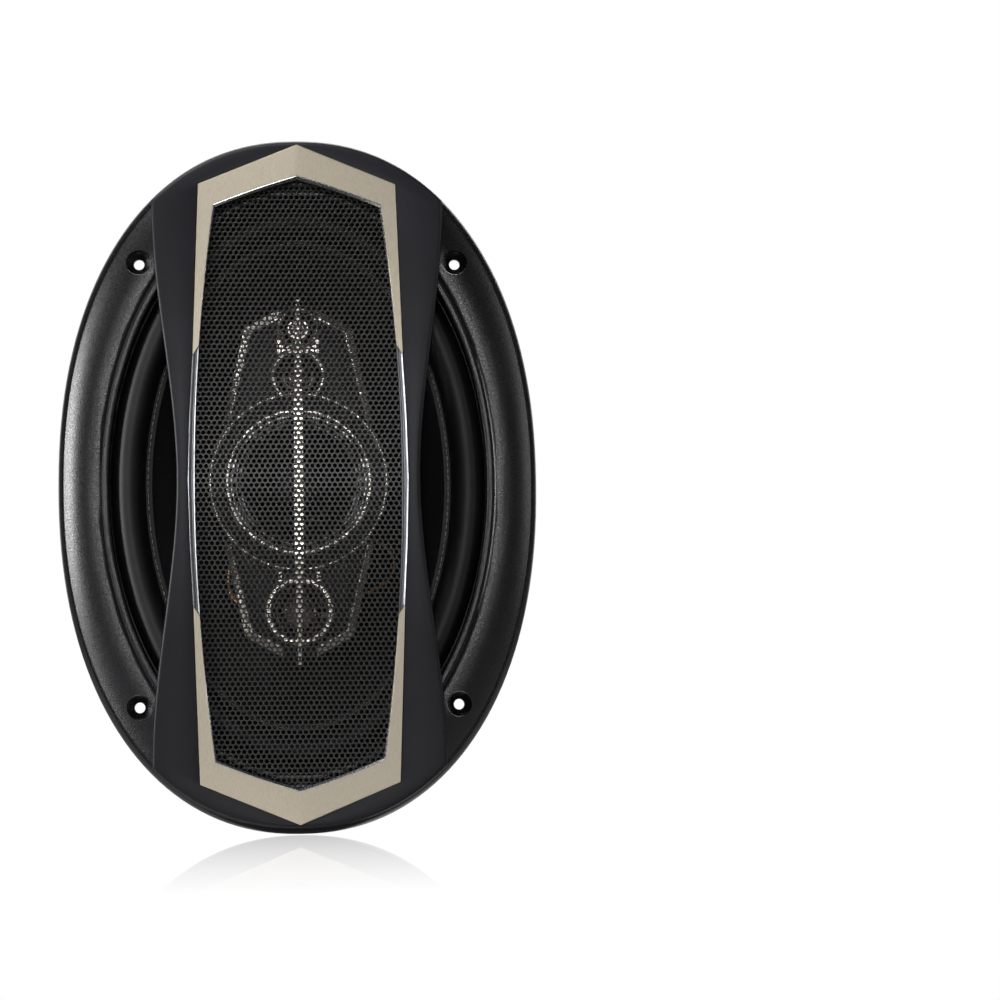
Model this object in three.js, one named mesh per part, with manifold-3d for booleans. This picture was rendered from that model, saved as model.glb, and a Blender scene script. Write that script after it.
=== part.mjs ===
// A 6 x 9 inch coaxial car speaker with its grille: oval woofer, centre post, driver bridge with one
// midrange and three tweeters, and a lift-off grille. Millimetres. +Z is up along the long axis, the
// speaker fires towards -Y, and the origin is on the speaker's axis in the plane of the mounting panel.
import * as THREE from "three";
import { mergeVertices } from "three/addons/utils/BufferGeometryUtils.js";
import Module from "manifold-3d";

const wasm = await Module();
wasm.setup();

// ---- Driving dimensions ----
const gap = 0.3; // between pieces that touch
const ovalSegments = 40;
const roundSegments = 24;
const smallSegments = 12;
const tweeterSegments = 20;
const archSteps = 14;

// Woofer cone and surround
const coneHalfWidth = 57.8;
const coneHalfLength = 93.6;
const coneDepth = 35;
const coneWall = 1.2;
const rollWidth = 13.3;
const rollHeight = 6.6;
const rubber = 1.0;
const lipWidth = 2.4;
const footWidth = 2.4; // how far the surround laps onto the cone

// Basket
const flangeThickness = 5;
const plateauSide = 7.2; // flange width outside its seat, at the long sides
const plateauEnd = 7.9; // the same at the two ends
const seatClearance = 0.8;
const ledgeFrontY = -2.6;
const basketWall = 3.4;
const upperWallDepth = 13.5;
const spiderShelfY = 38;
const spiderShelfRadius = 47;
const spiderShelfInner = 40;
const basketFootRadius = 46;
const basketFootHole = 24;
const basketFootThickness = 3.2;
const screwOutside = 2.2; // from the cone's half width out to a screw
const screwMargin = 9.79; // from the seat out to the oval through the screws
const slotLength = 8.2;
const slotWidth = 5.2;
const slotAngle = 42; // degrees from horizontal
const slotRecessRadius = 7;
const slotRecessDepth = 1;
const earRadius = 20.5;
const earSetback = [9.2, 6.8]; // from a screw hole in to the middle of its ear
const endArcRadius = 66;
const sideArcInset = 0.5; // of its centre
const spokeAngles = [0, 52, 90, 128, 180, 232, 270, 308];
const spokeHalfWidth = 5;
const padHalfWidth = 9;
const windowFrontY = 15.5;
const windowRearY = 34.5;

// Motor
const topPlateRadius = 42.5;
const topPlateThickness = 5.7;
const magnetRadius = 45;
const magnetHole = 23;
const magnetThickness = 16.7;
const yokeThickness = 6;
const poleRadius = 15.2;
const boltHoleRadius = 3.2;
const boltHeadRadius = 6;
const boltHeadThickness = 2.4;
const boltRecessClearance = 0.8;
const poleStep = 0.5; // pole's front face before the top plate's
const formerWall = 0.5;
const poleClearance = 0.5;
const coilWall = 0.6;
const coilClearance = 0.6;
const coilLength = 15;
const stitchInset = 0.6; // from the cone's edge
const stitchWidth = 0.7;
const stitchHeight = 0.5;
const gasketThickness = 0.9;
const gasketLap = 0.5; // clear of the roll
const spiderThickness = 0.9;
const corrugation = 2.2;
const corrugations = 4;

// Driver bridge
const bridgeFrontY = -14.8;
const bridgeThickness = 11.8;
const boreFloor = 1.4;
const bridgeOutline = [[0, 67.6], [6.4, 65.7], [20.3, 58.2], [28.2, 22]]; // upper right quarter
const railInner = [[6.4, 61.6], [17.4, 56.2], [25.4, 23.6]];
const midRingRadius = 33.6;
const midRingTrim = 1.1;
const midOpening = 26;
const midBezelWidth = 1.4;
const midRingHeight = 3.2;
const trimHeight = 2.1;
const midFrameDepth = 17;
const midFrameWall = 1.6;
const midConeRadius = 21.6;
const midNeckRadius = 9.4;
const midConeDepth = 9.5;
const midConeWall = 0.7;
const midRimHeight = 1.1;
const midRollWidth = 2.9;
const midRollHeight = 1.1;
const midSheet = 0.5;
const midLanding = 0.5;
const midMagnetRadius = 14;
const midMagnetThickness = 7.6;
const midPoleHeight = 2.4;
const midGrooveDepth = 4.4;
const midGap = 0.8; // the coil's clearance each side of its gap
const rearCupRadius = 32.6;
const rearCupEndRadius = 20;
const rearCupBackY = 15;
const rearCupWall = 1.8;
const rearCupSide = 6; // straight part of its side
const postRadius = 6.5;
const spineHalfLength = 68.7;
const spineWidths = [[0, 3.7], [29, 3.7], [40, 2.7], [68.7, 1.3]]; // height, width
const spineThickness = 2;
const tweeters = [
  { name: "top", z: 58.2, bezel: 7.9, opening: 6.8, dome: 5.2, rise: 1.6, depth: 7.5 },
  { name: "upper", z: 40, bezel: 10.3, opening: 8.9, dome: 4.9, rise: 3, depth: 9 },
  { name: "lower", z: -48.6, bezel: 13, opening: 10.7, dome: 8, rise: 4.4, depth: 9 },
];
const cupWall = 0.8;
const domeWall = 0.5;
const domeSkirt = 1.2;
const domeSetback = 0.7; // dome's top behind the bridge's front face
const postX = 7.2; // the small posts that tie the bezels together
const postWidth = 1.1;
const tieSetback = 0.3;
const leadRadius = 0.6;
const cutReach = 40; // how far a bore's cutter runs to each side of the panel plane

// Terminals
const padFaceX = 63.4;
const boardThickness = 2.5;
const boardHalfWidth = 22;
const boardFrontY = 27;
const boardDepth = 17;
const tabThickness = 0.8;
const tabHoleRadius = 0.9;
const tabStart = 7; // behind the board's front edge
const capacitorStart = 1;
const tabLength = 16;
const tabs = [{ name: "positive", z: 7, width: 6.3 }, { name: "negative", z: -7, width: 4.8 }];
const capacitors = [{ name: "midrange", z: 17.5, radius: 4.3 }, { name: "tweeter", z: -17.5, radius: 3.6 }];
const capacitorLength = 15;
const tinselRadius = 0.8;

// Grille
const grilleOverhangSide = 9; // past the flange
const grilleOverhangEnd = 14;
const grilleSquareness = 2.2;
const ringInnerEnd = 2; // opening's margin outside the surround's roll, at the ends
const ringRise = 8.5; // in front of the flange, as the next five depths are
const ringBandRise = 6;
const ringEdgeRise = 2.8;
const ringWallRise = 2.2;
const ringSkin = 2;
const ringScrewRadius = 2.1;
const counterboreRadius = 4.5;
const counterboreRise = 3.4;
const bossRadius = 6;
const archHeight = 27;
const archDrop = 12;
const grilleSkin = 2.3;
const bridgeWall = 2.5;
const waistHalfWidth = 45.3;
const shoulderHalfWidth = 54.8;
const shoulderDrop = 3.36; // below where the oval is as wide as the shoulder
const footRise = 1.8;
const meshHalfWaist = 37.2;
const meshHalfShoulder = 31;
const meshShoulderSetback = 28.5; // from the grille's end, as the next three heights are
const meshApexSetback = 16.5;
const meshThickness = 0.8;
const meshMargin = 2.4;
const chevronApexSetback = 3.7;
const chevronShoulderX = 37;
const chevronShoulderSetback = 19.4;
const chevronTipX = 39.1;
const chevronTipZ = 46.9;
const chevronSlant = 4;
const inlayDepth = 1;
const inlayRise = 0.2;
const inlayClearance = 0.3;
const bladeWaistX = 40.4;
const recessStart = 0.68; // share of the shoulder's height where the ring makes room for the bridge
const wallLiftFrom = 66; // heights between which the bridge's side walls rise from the ring
const wallLiftTo = 80;
const wallWaistDepth = 10;
const plateReach = 60; // how far in front the grille's upright cutters start

// ---- Derived places ----
const rollOuter = oval(coneHalfWidth + rollWidth, coneHalfLength + rollWidth);
const lipOuter = grown(rollOuter, lipWidth);
const seat = grown(lipOuter, seatClearance);
const screwOval = grown(seat, screwMargin);
const screwHalfX = coneHalfWidth + screwOutside;
const screwHalfZ = screwOval[1] * Math.sqrt(1 - (screwHalfX / screwOval[0]) ** 2);
const basketInner = grown(rollOuter, -1.6);
const basketOuter = grown(basketInner, basketWall);
const flangeOval = oval(seat[0] + plateauSide, seat[1] + plateauEnd);
const grilleHalfWidth = flangeOval[0] + grilleOverhangSide;
const grilleHalfLength = flangeOval[1] + grilleOverhangEnd;
const ringHeight = flangeThickness + ringRise;
const ringWallRearY = -flangeThickness - ringWallRise;
const counterboreFloorY = -flangeThickness - counterboreRise;
const footY = -flangeThickness - footRise;
const hourglassEnd = grown(oval(grilleHalfWidth, grilleHalfLength), -0.4);
const shoulderShare = (shoulderHalfWidth / hourglassEnd[0]) ** grilleSquareness;
const shoulderZ = hourglassEnd[1] * (1 - shoulderShare) ** (1 / grilleSquareness) - shoulderDrop;
const meshShoulderZ = grilleHalfLength - meshShoulderSetback;
const meshApexZ = grilleHalfLength - meshApexSetback;
const chevronApexZ = grilleHalfLength - chevronApexSetback;
const chevronShoulderZ = grilleHalfLength - chevronShoulderSetback;
const footY0 = spiderShelfY + 17.7; // rear face of the basket's foot
const topPlateY = footY0 + gap;
const magnetY = topPlateY + topPlateThickness + gap;
const yokeY = magnetY + magnetThickness + gap;
const lipBackY = ledgeFrontY - gap;
const coneFrontY = lipBackY + gap;
const spiderRearY = spiderShelfY - gap;
const formerInner = poleRadius + poleClearance;
const formerOuter = formerInner + formerWall;
const coilOuter = formerOuter + coilWall;
const topPlateHole = coilOuter + coilClearance;
const coilMiddleY = topPlateY + topPlateThickness / 2;
const neckY = coneFrontY + coneDepth;
const neckRadius = formerOuter + gap;
const trimBackY = bridgeFrontY - gap;
const trimFrontY = trimBackY - trimHeight;
const ringFrontY = trimBackY - midRingHeight;
const spineFrontY = ringFrontY - gap - spineThickness;
const ringInner = [rollOuter[0], rollOuter[1] + ringInnerEnd];
const tabPlaneX = padFaceX + gap + boardThickness;

// ---- Shape helpers ----
function oval(halfWidth, halfLength) {
  return [halfWidth, halfLength];
}

function grown([halfWidth, halfLength], by) {
  return [halfWidth + by, halfLength + by];
}

function power(value, squareness) {
  return Math.sign(value) * Math.abs(value) ** (2 / squareness);
}

// Signed area of an outline of [x, y] points: positive when it runs anticlockwise.
function signedArea(points) {
  return points.reduce((sum, [x, y], i) => {
    const [nextX, nextY] = points[(i + 1) % points.length];
    return sum + (x * nextY - nextX * y) / 2;
  }, 0);
}

// A solid turned round the Y axis. Each profile point is [half width, half length, y, squareness], so
// the section can change from an oval to a circle. A profile off the axis closes on itself.
function turned(profile, segments = ovalSegments) {
  const onAxis = profile[0][0] === 0;
  const clockwise = signedArea(profile.map(([a, , y]) => [a, y])) < 0;
  const ordered = clockwise ? [...profile].reverse() : profile;
  const points = onAxis ? ordered : [...ordered, ordered[0]];
  const geometry = new THREE.LatheGeometry(points.map(([a, , y]) => new THREE.Vector2(a, y)), segments);
  const position = geometry.getAttribute("position");
  for (let i = 0; i < position.count; i++) {
    const [a, b, y, squareness = 2] = points[i % points.length];
    const turn = ((Math.floor(i / points.length) % segments) / segments) * 2 * Math.PI;
    position.setXYZ(i, a * power(Math.sin(turn), squareness), y, b * power(Math.cos(turn), squareness));
  }
  return geometry;
}

// A round solid turned round a line along Y at height z: profile points are [radius, y].
function round(profile, z = 0, segments = roundSegments, x = 0) {
  return turned(profile.map(([r, y]) => [r, r, y]), segments).translate(x, 0, z);
}

function tube(inner, outer, y0, y1, z = 0, segments = roundSegments) {
  return round([[inner, y0], [outer, y0], [outer, y1], [inner, y1]], z, segments);
}

function disc(radius, y0, y1, z = 0, segments = roundSegments, x = 0) {
  return round([[0, y0], [radius, y0], [radius, y1], [0, y1]], z, segments, x);
}

function shapeOf(points) {
  return new THREE.Shape(points.map(([x, z]) => new THREE.Vector2(x, z)));
}

// A plate whose outline lies in the XZ plane, from frontY back to rearY.
function plate(points, frontY, rearY) {
  return new THREE.ExtrudeGeometry(shapeOf(points), { depth: rearY - frontY, bevelEnabled: false })
    .rotateX(Math.PI / 2)
    .translate(0, rearY, 0);
}

// A slab across the whole width whose outline lies in the ZY plane: points are [z, y].
function slab(points, halfWidth = 150) {
  const toSide = new THREE.Matrix4().makeBasis(
    new THREE.Vector3(0, 0, 1),
    new THREE.Vector3(0, 1, 0),
    new THREE.Vector3(-1, 0, 0),
  );
  return new THREE.ExtrudeGeometry(shapeOf(points), { depth: 2 * halfWidth, bevelEnabled: false })
    .applyMatrix4(toSide)
    .translate(halfWidth, 0, 0);
}

function box(x0, x1, y0, y1, z0, z1) {
  return new THREE.BoxGeometry(x1 - x0, y1 - y0, z1 - z0)
    .translate((x0 + x1) / 2, (y0 + y1) / 2, (z0 + z1) / 2);
}

// The whole outline from its upper right quarter, which runs from the top down the right side.
function mirrored(quarter) {
  const lower = quarter.map(([x, z]) => [x, -z]).reverse();
  const right = [...quarter, ...lower];
  const left = right.map(([x, z]) => [-x, z]).reverse().filter(([x]) => x !== 0);
  const same = ([x, z], [nextX, nextZ]) => x === nextX && z === nextZ;
  return right.concat(left).filter((point, i, all) => i === 0 || !same(point, all[i - 1]));
}

function sampled(from, to, steps, f) {
  return Array.from({ length: steps + 1 }, (_, i) => f(from + ((to - from) * i) / steps));
}

// The convex outline round a set of points, anticlockwise.
function convexOutline(points) {
  const sorted = [...points].sort((p, q) => p[0] - q[0] || p[1] - q[1]);
  const chain = (list) => {
    const out = [];
    for (const p of list) {
      while (out.length > 1 && signedArea([out.at(-2), out.at(-1), p]) <= 1e-6) out.pop();
      out.push(p);
    }
    return out.slice(0, -1);
  };
  return [...chain(sorted), ...chain(sorted.reverse())];
}

function circlePoints(radius, x, z, count) {
  return sampled(0, 2 * Math.PI, count, (t) => [x + radius * Math.cos(t), z + radius * Math.sin(t)]);
}

// ---- Solids: joining and cutting ----
function toSolid(geometry) {
  const bare = geometry.clone();
  bare.deleteAttribute("normal");
  bare.deleteAttribute("uv");
  const merged = mergeVertices(bare, 1e-4);
  return new wasm.Manifold(new wasm.Mesh({
    numProp: 3,
    vertProperties: new Float32Array(merged.attributes.position.array),
    triVerts: new Uint32Array(merged.index.array),
  }));
}

function toGeometry(solid) {
  const mesh = solid.getMesh();
  const geometry = new THREE.BufferGeometry();
  geometry.setAttribute("position", new THREE.BufferAttribute(new Float32Array(mesh.vertProperties), 3));
  geometry.setIndex(new THREE.BufferAttribute(new Uint32Array(mesh.triVerts), 1));
  return geometry;
}

const joined = (...parts) => parts.map(toSolid).reduce((all, part) => all.add(part));
const cutBy = (solid, ...tools) => tools.map(toSolid).reduce((rest, tool) => rest.subtract(tool), solid);
const common = (a, b) => toSolid(a).intersect(toSolid(b));

// ---- Materials ----
const material = (color, roughness, metalness = 0) => (
  new THREE.MeshStandardMaterial({ color, roughness, metalness })
);
const finishes = {
  basket: material(0x1c1e20, 0.55),
  rubber: material(0x101112, 0.5),
  cone: material(0x141516, 0.85),
  gasket: material(0x2a2b2c, 0.9),
  steel: material(0x9a9c9e, 0.35, 1),
  ferrite: material(0x2e2f31, 0.7),
  former: material(0xb98a52, 0.6),
  copper: material(0xb5682e, 0.35, 1),
  spider: material(0xb08a3c, 0.9),
  bridge: material(0x1d1f20, 0.6),
  trim: material(0xb9aea3, 0.35, 1),
  gloss: material(0x08090a, 0.12),
  dome: material(0x8d8482, 0.3, 1),
  domeCup: material(0x262425, 0.4, 0.4),
  softDome: material(0x1a1b1c, 0.8),
  thread: material(0x8f8c85, 0.9),
  lead: material(0x8a6a3e, 0.7),
  board: material(0x5c4326, 0.7),
  tin: material(0xc8c9c6, 0.3, 1),
  sleeve: material(0x27407a, 0.4),
  grille: material(0x1b1b20, 0.4),
  champagne: material(0xb8b09c, 0.35, 0.8),
  blade: material(0x4a4c50, 0.25, 0.9),
  mesh: material(0x17181a, 0.5, 0.3),
};

const speaker = new THREE.Group();

function add(name, shape, finish) {
  const geometry = shape.isBufferGeometry ? shape : toGeometry(shape);
  const mesh = new THREE.Mesh(geometry, finish);
  mesh.name = name;
  speaker.add(mesh);
}

const corners = [[1, 1], [-1, 1], [1, -1], [-1, -1]];

// ---- Basket: flange with four ears, oval bowl with spokes and windows ----
function basket() {
  const outline = convexOutline(corners.flatMap(([sx, sz]) => [
    ...circlePoints(earRadius, sx * (screwHalfX - earSetback[0]), sz * (screwHalfZ - earSetback[1]), 40),
    ...circlePoints(endArcRadius, 0, sz * (flangeOval[1] - endArcRadius), 80),
    ...circlePoints(flangeOval[0] - sideArcInset, sx * sideArcInset, 0, 80),
  ]));
  const flange = cutBy(
    toSolid(plate(outline, -flangeThickness, 0)),
    turned([[0, 0, -flangeThickness - 1], [...seat, -flangeThickness - 1], [...seat, 1], [0, 0, 1]]),
  );
  const shelf = spiderShelfRadius;
  const foot = basketFootRadius;
  const bowl = turned([
    [...grown(seat, 1.2), ledgeFrontY],
    [...basketInner, ledgeFrontY],
    [...basketInner, upperWallDepth - 1],
    [shelf + 2, shelf + 4, spiderShelfY - 1],
    [shelf, shelf, spiderShelfY],
    [spiderShelfInner, spiderShelfInner, spiderShelfY],
    [spiderShelfInner, spiderShelfInner, footY0 - basketFootThickness],
    [basketFootHole, basketFootHole, footY0 - basketFootThickness],
    [basketFootHole, basketFootHole, footY0],
    [foot, foot, footY0],
    [foot, foot, spiderShelfY + 6],
    [shelf + 5, shelf + 8, spiderShelfY],
    [...basketOuter, upperWallDepth],
    [...basketOuter, 0],
    [...grown(seat, 1.2), 0],
  ]);
  const windows = spokeAngles.map((from, i) => {
    const to = spokeAngles[(i + 1) % spokeAngles.length] + (i + 1 === spokeAngles.length ? 360 : 0);
    const edge = (angle, side, reach) => {
      const half = angle % 180 === 0 ? padHalfWidth : spokeHalfWidth;
      const t = (angle * Math.PI) / 180;
      return [
        reach * Math.cos(t) - side * half * Math.sin(t),
        reach * Math.sin(t) + side * half * Math.cos(t),
      ];
    };
    const inner = spiderShelfInner;
    const outer = flangeOval[1] + 10;
    return plate([edge(from, 1, inner), edge(from, 1, outer), edge(to, -1, outer), edge(to, -1, inner)],
      windowFrontY, windowRearY);
  });
  const padInner = spiderShelfRadius + 2;
  const pads = [[padInner, padFaceX], [-padFaceX, -padInner]].map(([x0, x1]) => box(
    x0, x1, boardFrontY - 4, spiderShelfY + 3, -padHalfWidth, padHalfWidth,
  ));
  const half = slotWidth / 2;
  const reach = (slotLength - slotWidth) / 2;
  const slots = corners.flatMap(([sx, sz]) => {
    const along = [-reach, reach].flatMap((offset, end) => {
      const middle = end ? 0 : 180;
      return sampled(middle - 90, middle + 90, 8, (angle) => {
        const t = ((angle + slotAngle) * Math.PI) / 180;
        const shift = (slotAngle * Math.PI) / 180;
        return [
          sx * (screwHalfX + offset * Math.cos(shift) + half * Math.cos(t)),
          sz * (screwHalfZ + offset * Math.sin(shift) + half * Math.sin(t)),
        ];
      });
    });
    const recessFloor = slotRecessDepth - flangeThickness;
    const recess = disc(slotRecessRadius, -flangeThickness - 1, recessFloor, 0, smallSegments)
      .translate(sx * screwHalfX, 0, sz * screwHalfZ);
    return [plate(convexOutline(along), -flangeThickness - 1, 1), recess];
  });
  const opened = cutBy(flange.add(toSolid(bowl)), ...windows);
  return cutBy(opened.add(toSolid(pads[0])).add(toSolid(pads[1])), ...slots);
}

// ---- Woofer: surround, cone, coil and spider ----
function coneSection(share) {
  const radius = neckRadius + 0.2;
  return [
    coneHalfWidth + (radius - coneHalfWidth) * share,
    coneHalfLength + (radius - coneHalfLength) * share,
    coneFrontY + coneDepth * share,
  ];
}

function cone() {
  const front = sampled(0, 1, 3, coneSection);
  const rear = front.map(([a, b, y]) => [a, b, y + coneWall]).reverse();
  return turned([...front, ...rear]);
}

function surround() {
  const middle = (offset) => grown(oval(coneHalfWidth, coneHalfLength), rollWidth / 2 + offset);
  const arc = (halfSpan, height) => sampled(0, Math.PI, 6, (t) => [
    ...middle(halfSpan * Math.cos(t)),
    lipBackY - rubber - height * Math.sin(t),
  ]);
  const outside = arc(rollWidth / 2, rollHeight);
  const inside = arc(rollWidth / 2 - rubber, rollHeight - rubber)
    .reverse()
    .map(([a, b, y]) => [a, b, y + rubber]);
  return turned([
    [...lipOuter, lipBackY],
    [...lipOuter, lipBackY - rubber],
    ...outside,
    [...grown(oval(coneHalfWidth, coneHalfLength), -footWidth), lipBackY - rubber],
    [...grown(oval(coneHalfWidth, coneHalfLength), -footWidth), lipBackY],
    ...inside,
  ]);
}

// ---- Driver bridge ----
function bridgeBody() {
  const rearY = bridgeFrontY + bridgeThickness;
  const panel = toSolid(plate(mirrored(bridgeOutline), bridgeFrontY, rearY));
  const hub = toSolid(disc(midRingRadius - 0.6, bridgeFrontY, rearY, 0, ovalSegments));
  const bores = tweeters.map((t) => disc(
    t.opening + cupWall + gap, bridgeFrontY - 1, bridgeFrontY + t.depth + boreFloor, t.z, tweeterSegments,
  ));
  return cutBy(panel.add(hub), disc(midOpening + midBezelWidth + gap, -cutReach, cutReach), ...bores);
}

function rearCup() {
  const y0 = bridgeFrontY + bridgeThickness + gap;
  const y1 = y0 + rearCupSide;
  return round([
    [0, rearCupBackY], [rearCupEndRadius, rearCupBackY], [rearCupRadius, y1], [rearCupRadius, y0],
    [rearCupRadius - rearCupWall, y0], [rearCupRadius - rearCupWall, y1 - 0.6],
    [rearCupEndRadius - rearCupWall, rearCupBackY - rearCupWall], [0, rearCupBackY - rearCupWall],
  ]);
}

function spineTrim() {
  const right = spineWidths.map(([z, width]) => [width / 2, z]).reverse();
  const bar = plate(mirrored(right), spineFrontY, trimBackY);
  const step = midRingRadius + gap;
  const side = slab([
    [-spineHalfLength - 1, trimBackY], [-spineHalfLength - 1, trimFrontY - 0.6], [-step, spineFrontY],
    [step, spineFrontY], [spineHalfLength + 1, trimFrontY - 0.6], [spineHalfLength + 1, trimBackY],
    [step, trimBackY], [step, ringFrontY - gap], [-step, ringFrontY - gap], [-step, trimBackY],
  ]);
  const bezels = tweeters.map((t) => toSolid(
    tube(t.opening, t.bezel, trimFrontY, trimBackY, t.z, tweeterSegments),
  ));
  const openings = tweeters.map((t) => disc(t.opening, -cutReach, cutReach, t.z, tweeterSegments));
  const [top, upper, lower] = tweeters;
  const spans = [[upper.z, top.z], [lower.z, -midRingRadius + 1]];
  const ties = [postX, -postX].flatMap((x) => spans.map(([z0, z1]) => box(
    x - postWidth / 2, x + postWidth / 2, trimFrontY + tieSetback, trimBackY, z0, z1,
  )));
  const keepOut = disc(midRingRadius + gap, ringFrontY - gap, 0);
  const posts = cutBy(joined(...ties), ...openings);
  const whole = bezels.reduce((all, bezel) => all.add(bezel), common(bar, side).add(posts));
  return cutBy(whole, keepOut);
}

// One side rail: the strip between the bridge's edge and the panel, clear of the ring and the bezels.
function sideRail(sx, sz) {
  const points = [...bridgeOutline.slice(1), ...[...railInner].reverse()].map(([x, z]) => [sx * x, sz * z]);
  const strip = toSolid(plate(points, trimFrontY, trimBackY));
  const clearRing = disc(midRingRadius + gap, trimFrontY - 1, 0);
  const clearBezels = tweeters.map((t) => disc(t.bezel + gap, trimFrontY - 1, 0, t.z, tweeterSegments));
  return cutBy(strip, clearRing, ...clearBezels);
}

function tweeterCup(t) {
  const y0 = bridgeFrontY;
  const y1 = y0 + t.depth;
  const outer = t.opening + cupWall;
  const rim = t.dome + 0.8;
  return round([
    [0, y1 - cupWall], [rim, y1 - cupWall], [rim, domeEdgeY(t) + 0.4], [t.opening - 0.4, y0 + 0.8],
    [t.opening, y0], [outer, y0], [outer, y1], [0, y1],
  ], t.z, tweeterSegments);
}

function domeEdgeY(t) {
  return bridgeFrontY + domeSetback + t.rise;
}

function tweeterDome(t) {
  const cap = (radius, rise) => sampled(0, 1, 3, (u) => [
    radius * (1 - u),
    domeEdgeY(t) - rise * Math.sqrt(1 - (1 - u) ** 2),
  ]);
  const outside = [[t.dome, domeEdgeY(t) + domeSkirt], ...cap(t.dome, t.rise)];
  const inside = [[t.dome - domeWall, domeEdgeY(t) + domeSkirt], ...cap(t.dome - domeWall, t.rise - domeWall)];
  return round([...outside, ...inside.reverse()], t.z, 16);
}

// A round lead along a smooth line through the given points.
function lead(points, radius, steps) {
  const path = new THREE.CatmullRomCurve3(points.map((p) => new THREE.Vector3(...p)));
  const section = shapeOf(circlePoints(radius, 0, 0, 6).slice(0, -1));
  return new THREE.ExtrudeGeometry(section, { steps, extrudePath: path, bevelEnabled: false });
}

// ---- Grille ----
const archY = (z) => -(archHeight - archDrop * (z / grilleHalfLength) ** 2);

// The layer of the arched grille between two depths behind its front surface.
function archLayer(front, rear) {
  const reach = grilleHalfLength + 2;
  return slab([
    ...sampled(-reach, reach, archSteps, (z) => [z, archY(z) + front]),
    ...sampled(reach, -reach, archSteps, (z) => [z, archY(z) + rear]),
  ]);
}

function hourglass(inset) {
  const smooth = (u) => u * u * (3 - 2 * u);
  const flare = shoulderHalfWidth - waistHalfWidth;
  const halfAt = (z) => waistHalfWidth + flare * smooth(z / shoulderZ) - inset;
  const side = sampled(shoulderZ - 2, 0, 10, (z) => [halfAt(z), z]);
  const [a, b] = grown(hourglassEnd, -inset);
  const startAt = Math.asin(((shoulderHalfWidth - inset) / a) ** (grilleSquareness / 2));
  const end = sampled(0, startAt, 8, (t) => [
    a * power(Math.sin(t), grilleSquareness), b * power(Math.cos(t), grilleSquareness),
  ]);
  return mirrored([...end, ...side]);
}

const meshHalfAt = (z) => meshHalfWaist - (meshHalfWaist - meshHalfShoulder) * (z / meshShoulderZ) ** 2;

function meshWindow(margin) {
  const side = sampled(meshShoulderZ, 0, 8, (z) => [
    meshHalfAt(z) + margin, z + (margin * z) / meshShoulderZ / 2,
  ]);
  return mirrored([[0, meshApexZ + margin], ...side]);
}

function chevron(sign, grow) {
  const outer = [
    [0, chevronApexZ + grow], [chevronShoulderX + grow, chevronShoulderZ + grow],
    [chevronTipX + grow, chevronTipZ - grow],
  ];
  const inner = sampled(chevronTipZ + chevronSlant - grow, meshShoulderZ, 5, (z) => [meshHalfAt(z) - grow, z]);
  const right = [...outer, ...inner, [0, meshApexZ - grow]];
  const left = right.slice(1, -1).map(([x, z]) => [-x, z]).reverse();
  return [...right, ...left].map(([x, z]) => [x, sign * z]);
}

function blade(side, grow) {
  const top = chevronTipZ - inlayClearance + grow;
  const inner = sampled(-top - chevronSlant, top + chevronSlant, 8, (z) => [meshHalfAt(z) - grow, z]);
  const bow = bladeWaistX - chevronTipX;
  const outer = sampled(top, -top, 6, (z) => [bladeWaistX - (bow * Math.abs(z)) / top + grow, z]);
  return [...inner, ...outer].map(([x, z]) => [side * x, z]);
}

// The ring's front surface as a profile, from its inner edge to its foot.
function ringSkinProfile(inset) {
  const [innerA, innerB] = grown(ringInner, inset);
  const at = (inward, y) => [
    grilleHalfWidth - inward - inset, grilleHalfLength - inward - inset, y + inset, grilleSquareness,
  ];
  const crest = [grilleHalfWidth - 7.4, grilleHalfLength - 8.6, -ringHeight + 0.9 + inset, 2.1];
  const lip = [innerA, innerB, -ringHeight + inset + 0.5];
  return [
    lip, crest, at(2.8, -flangeThickness - ringBandRise), at(0.6, -flangeThickness - ringEdgeRise),
    at(0, -flangeThickness - inset),
  ];
}

function grilleRing() {
  const skirt = [grilleHalfWidth, grilleHalfLength, -gap, grilleSquareness];
  const wallFoot = grown(ringInner, ringSkin + 0.5);
  const blank = turned([
    [...ringInner, ringWallRearY], ...ringSkinProfile(0), skirt, [...wallFoot, ringWallRearY],
  ]);
  const hollow = turned([
    [...grown(ringInner, ringSkin), 5], ...ringSkinProfile(ringSkin),
    [grilleHalfWidth - ringSkin, grilleHalfLength - ringSkin, 5, grilleSquareness],
  ]);
  const skin = toSolid(blank).subtract(toSolid(hollow));
  const bossRear = slotRecessDepth - flangeThickness - gap;
  const place = (part, [sx, sz]) => part.translate(sx * screwHalfX, 0, sz * screwHalfZ);
  const behindSkin = turned([
    [...ringInner, 2], ...ringSkinProfile(0), [grilleHalfWidth, grilleHalfLength, 2, grilleSquareness],
  ]);
  const bosses = corners.map((c) => common(place(disc(bossRadius, -ringHeight, bossRear), c), behindSkin));
  const holes = corners.flatMap((c) => [
    place(disc(ringScrewRadius, -30, 5, 0, smallSegments), c),
    place(disc(counterboreRadius, -30, counterboreFloorY, 0, smallSegments), c),
  ]);
  const bridgeRecess = plate(hourglass(-inlayClearance), -plateReach, footY + gap);
  const from = shoulderZ * recessStart;
  const to = grilleHalfLength + 10;
  const recesses = [[from, to], [-to, -from]].map(([z0, z1]) => common(bridgeRecess, box(
    -grilleHalfWidth, grilleHalfWidth, -plateReach, 0, z0, z1,
  )));
  const holed = cutBy(bosses.reduce((all, boss) => all.add(boss), skin), ...holes);
  return recesses.reduce((rest, recess) => rest.subtract(recess), holed);
}

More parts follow.
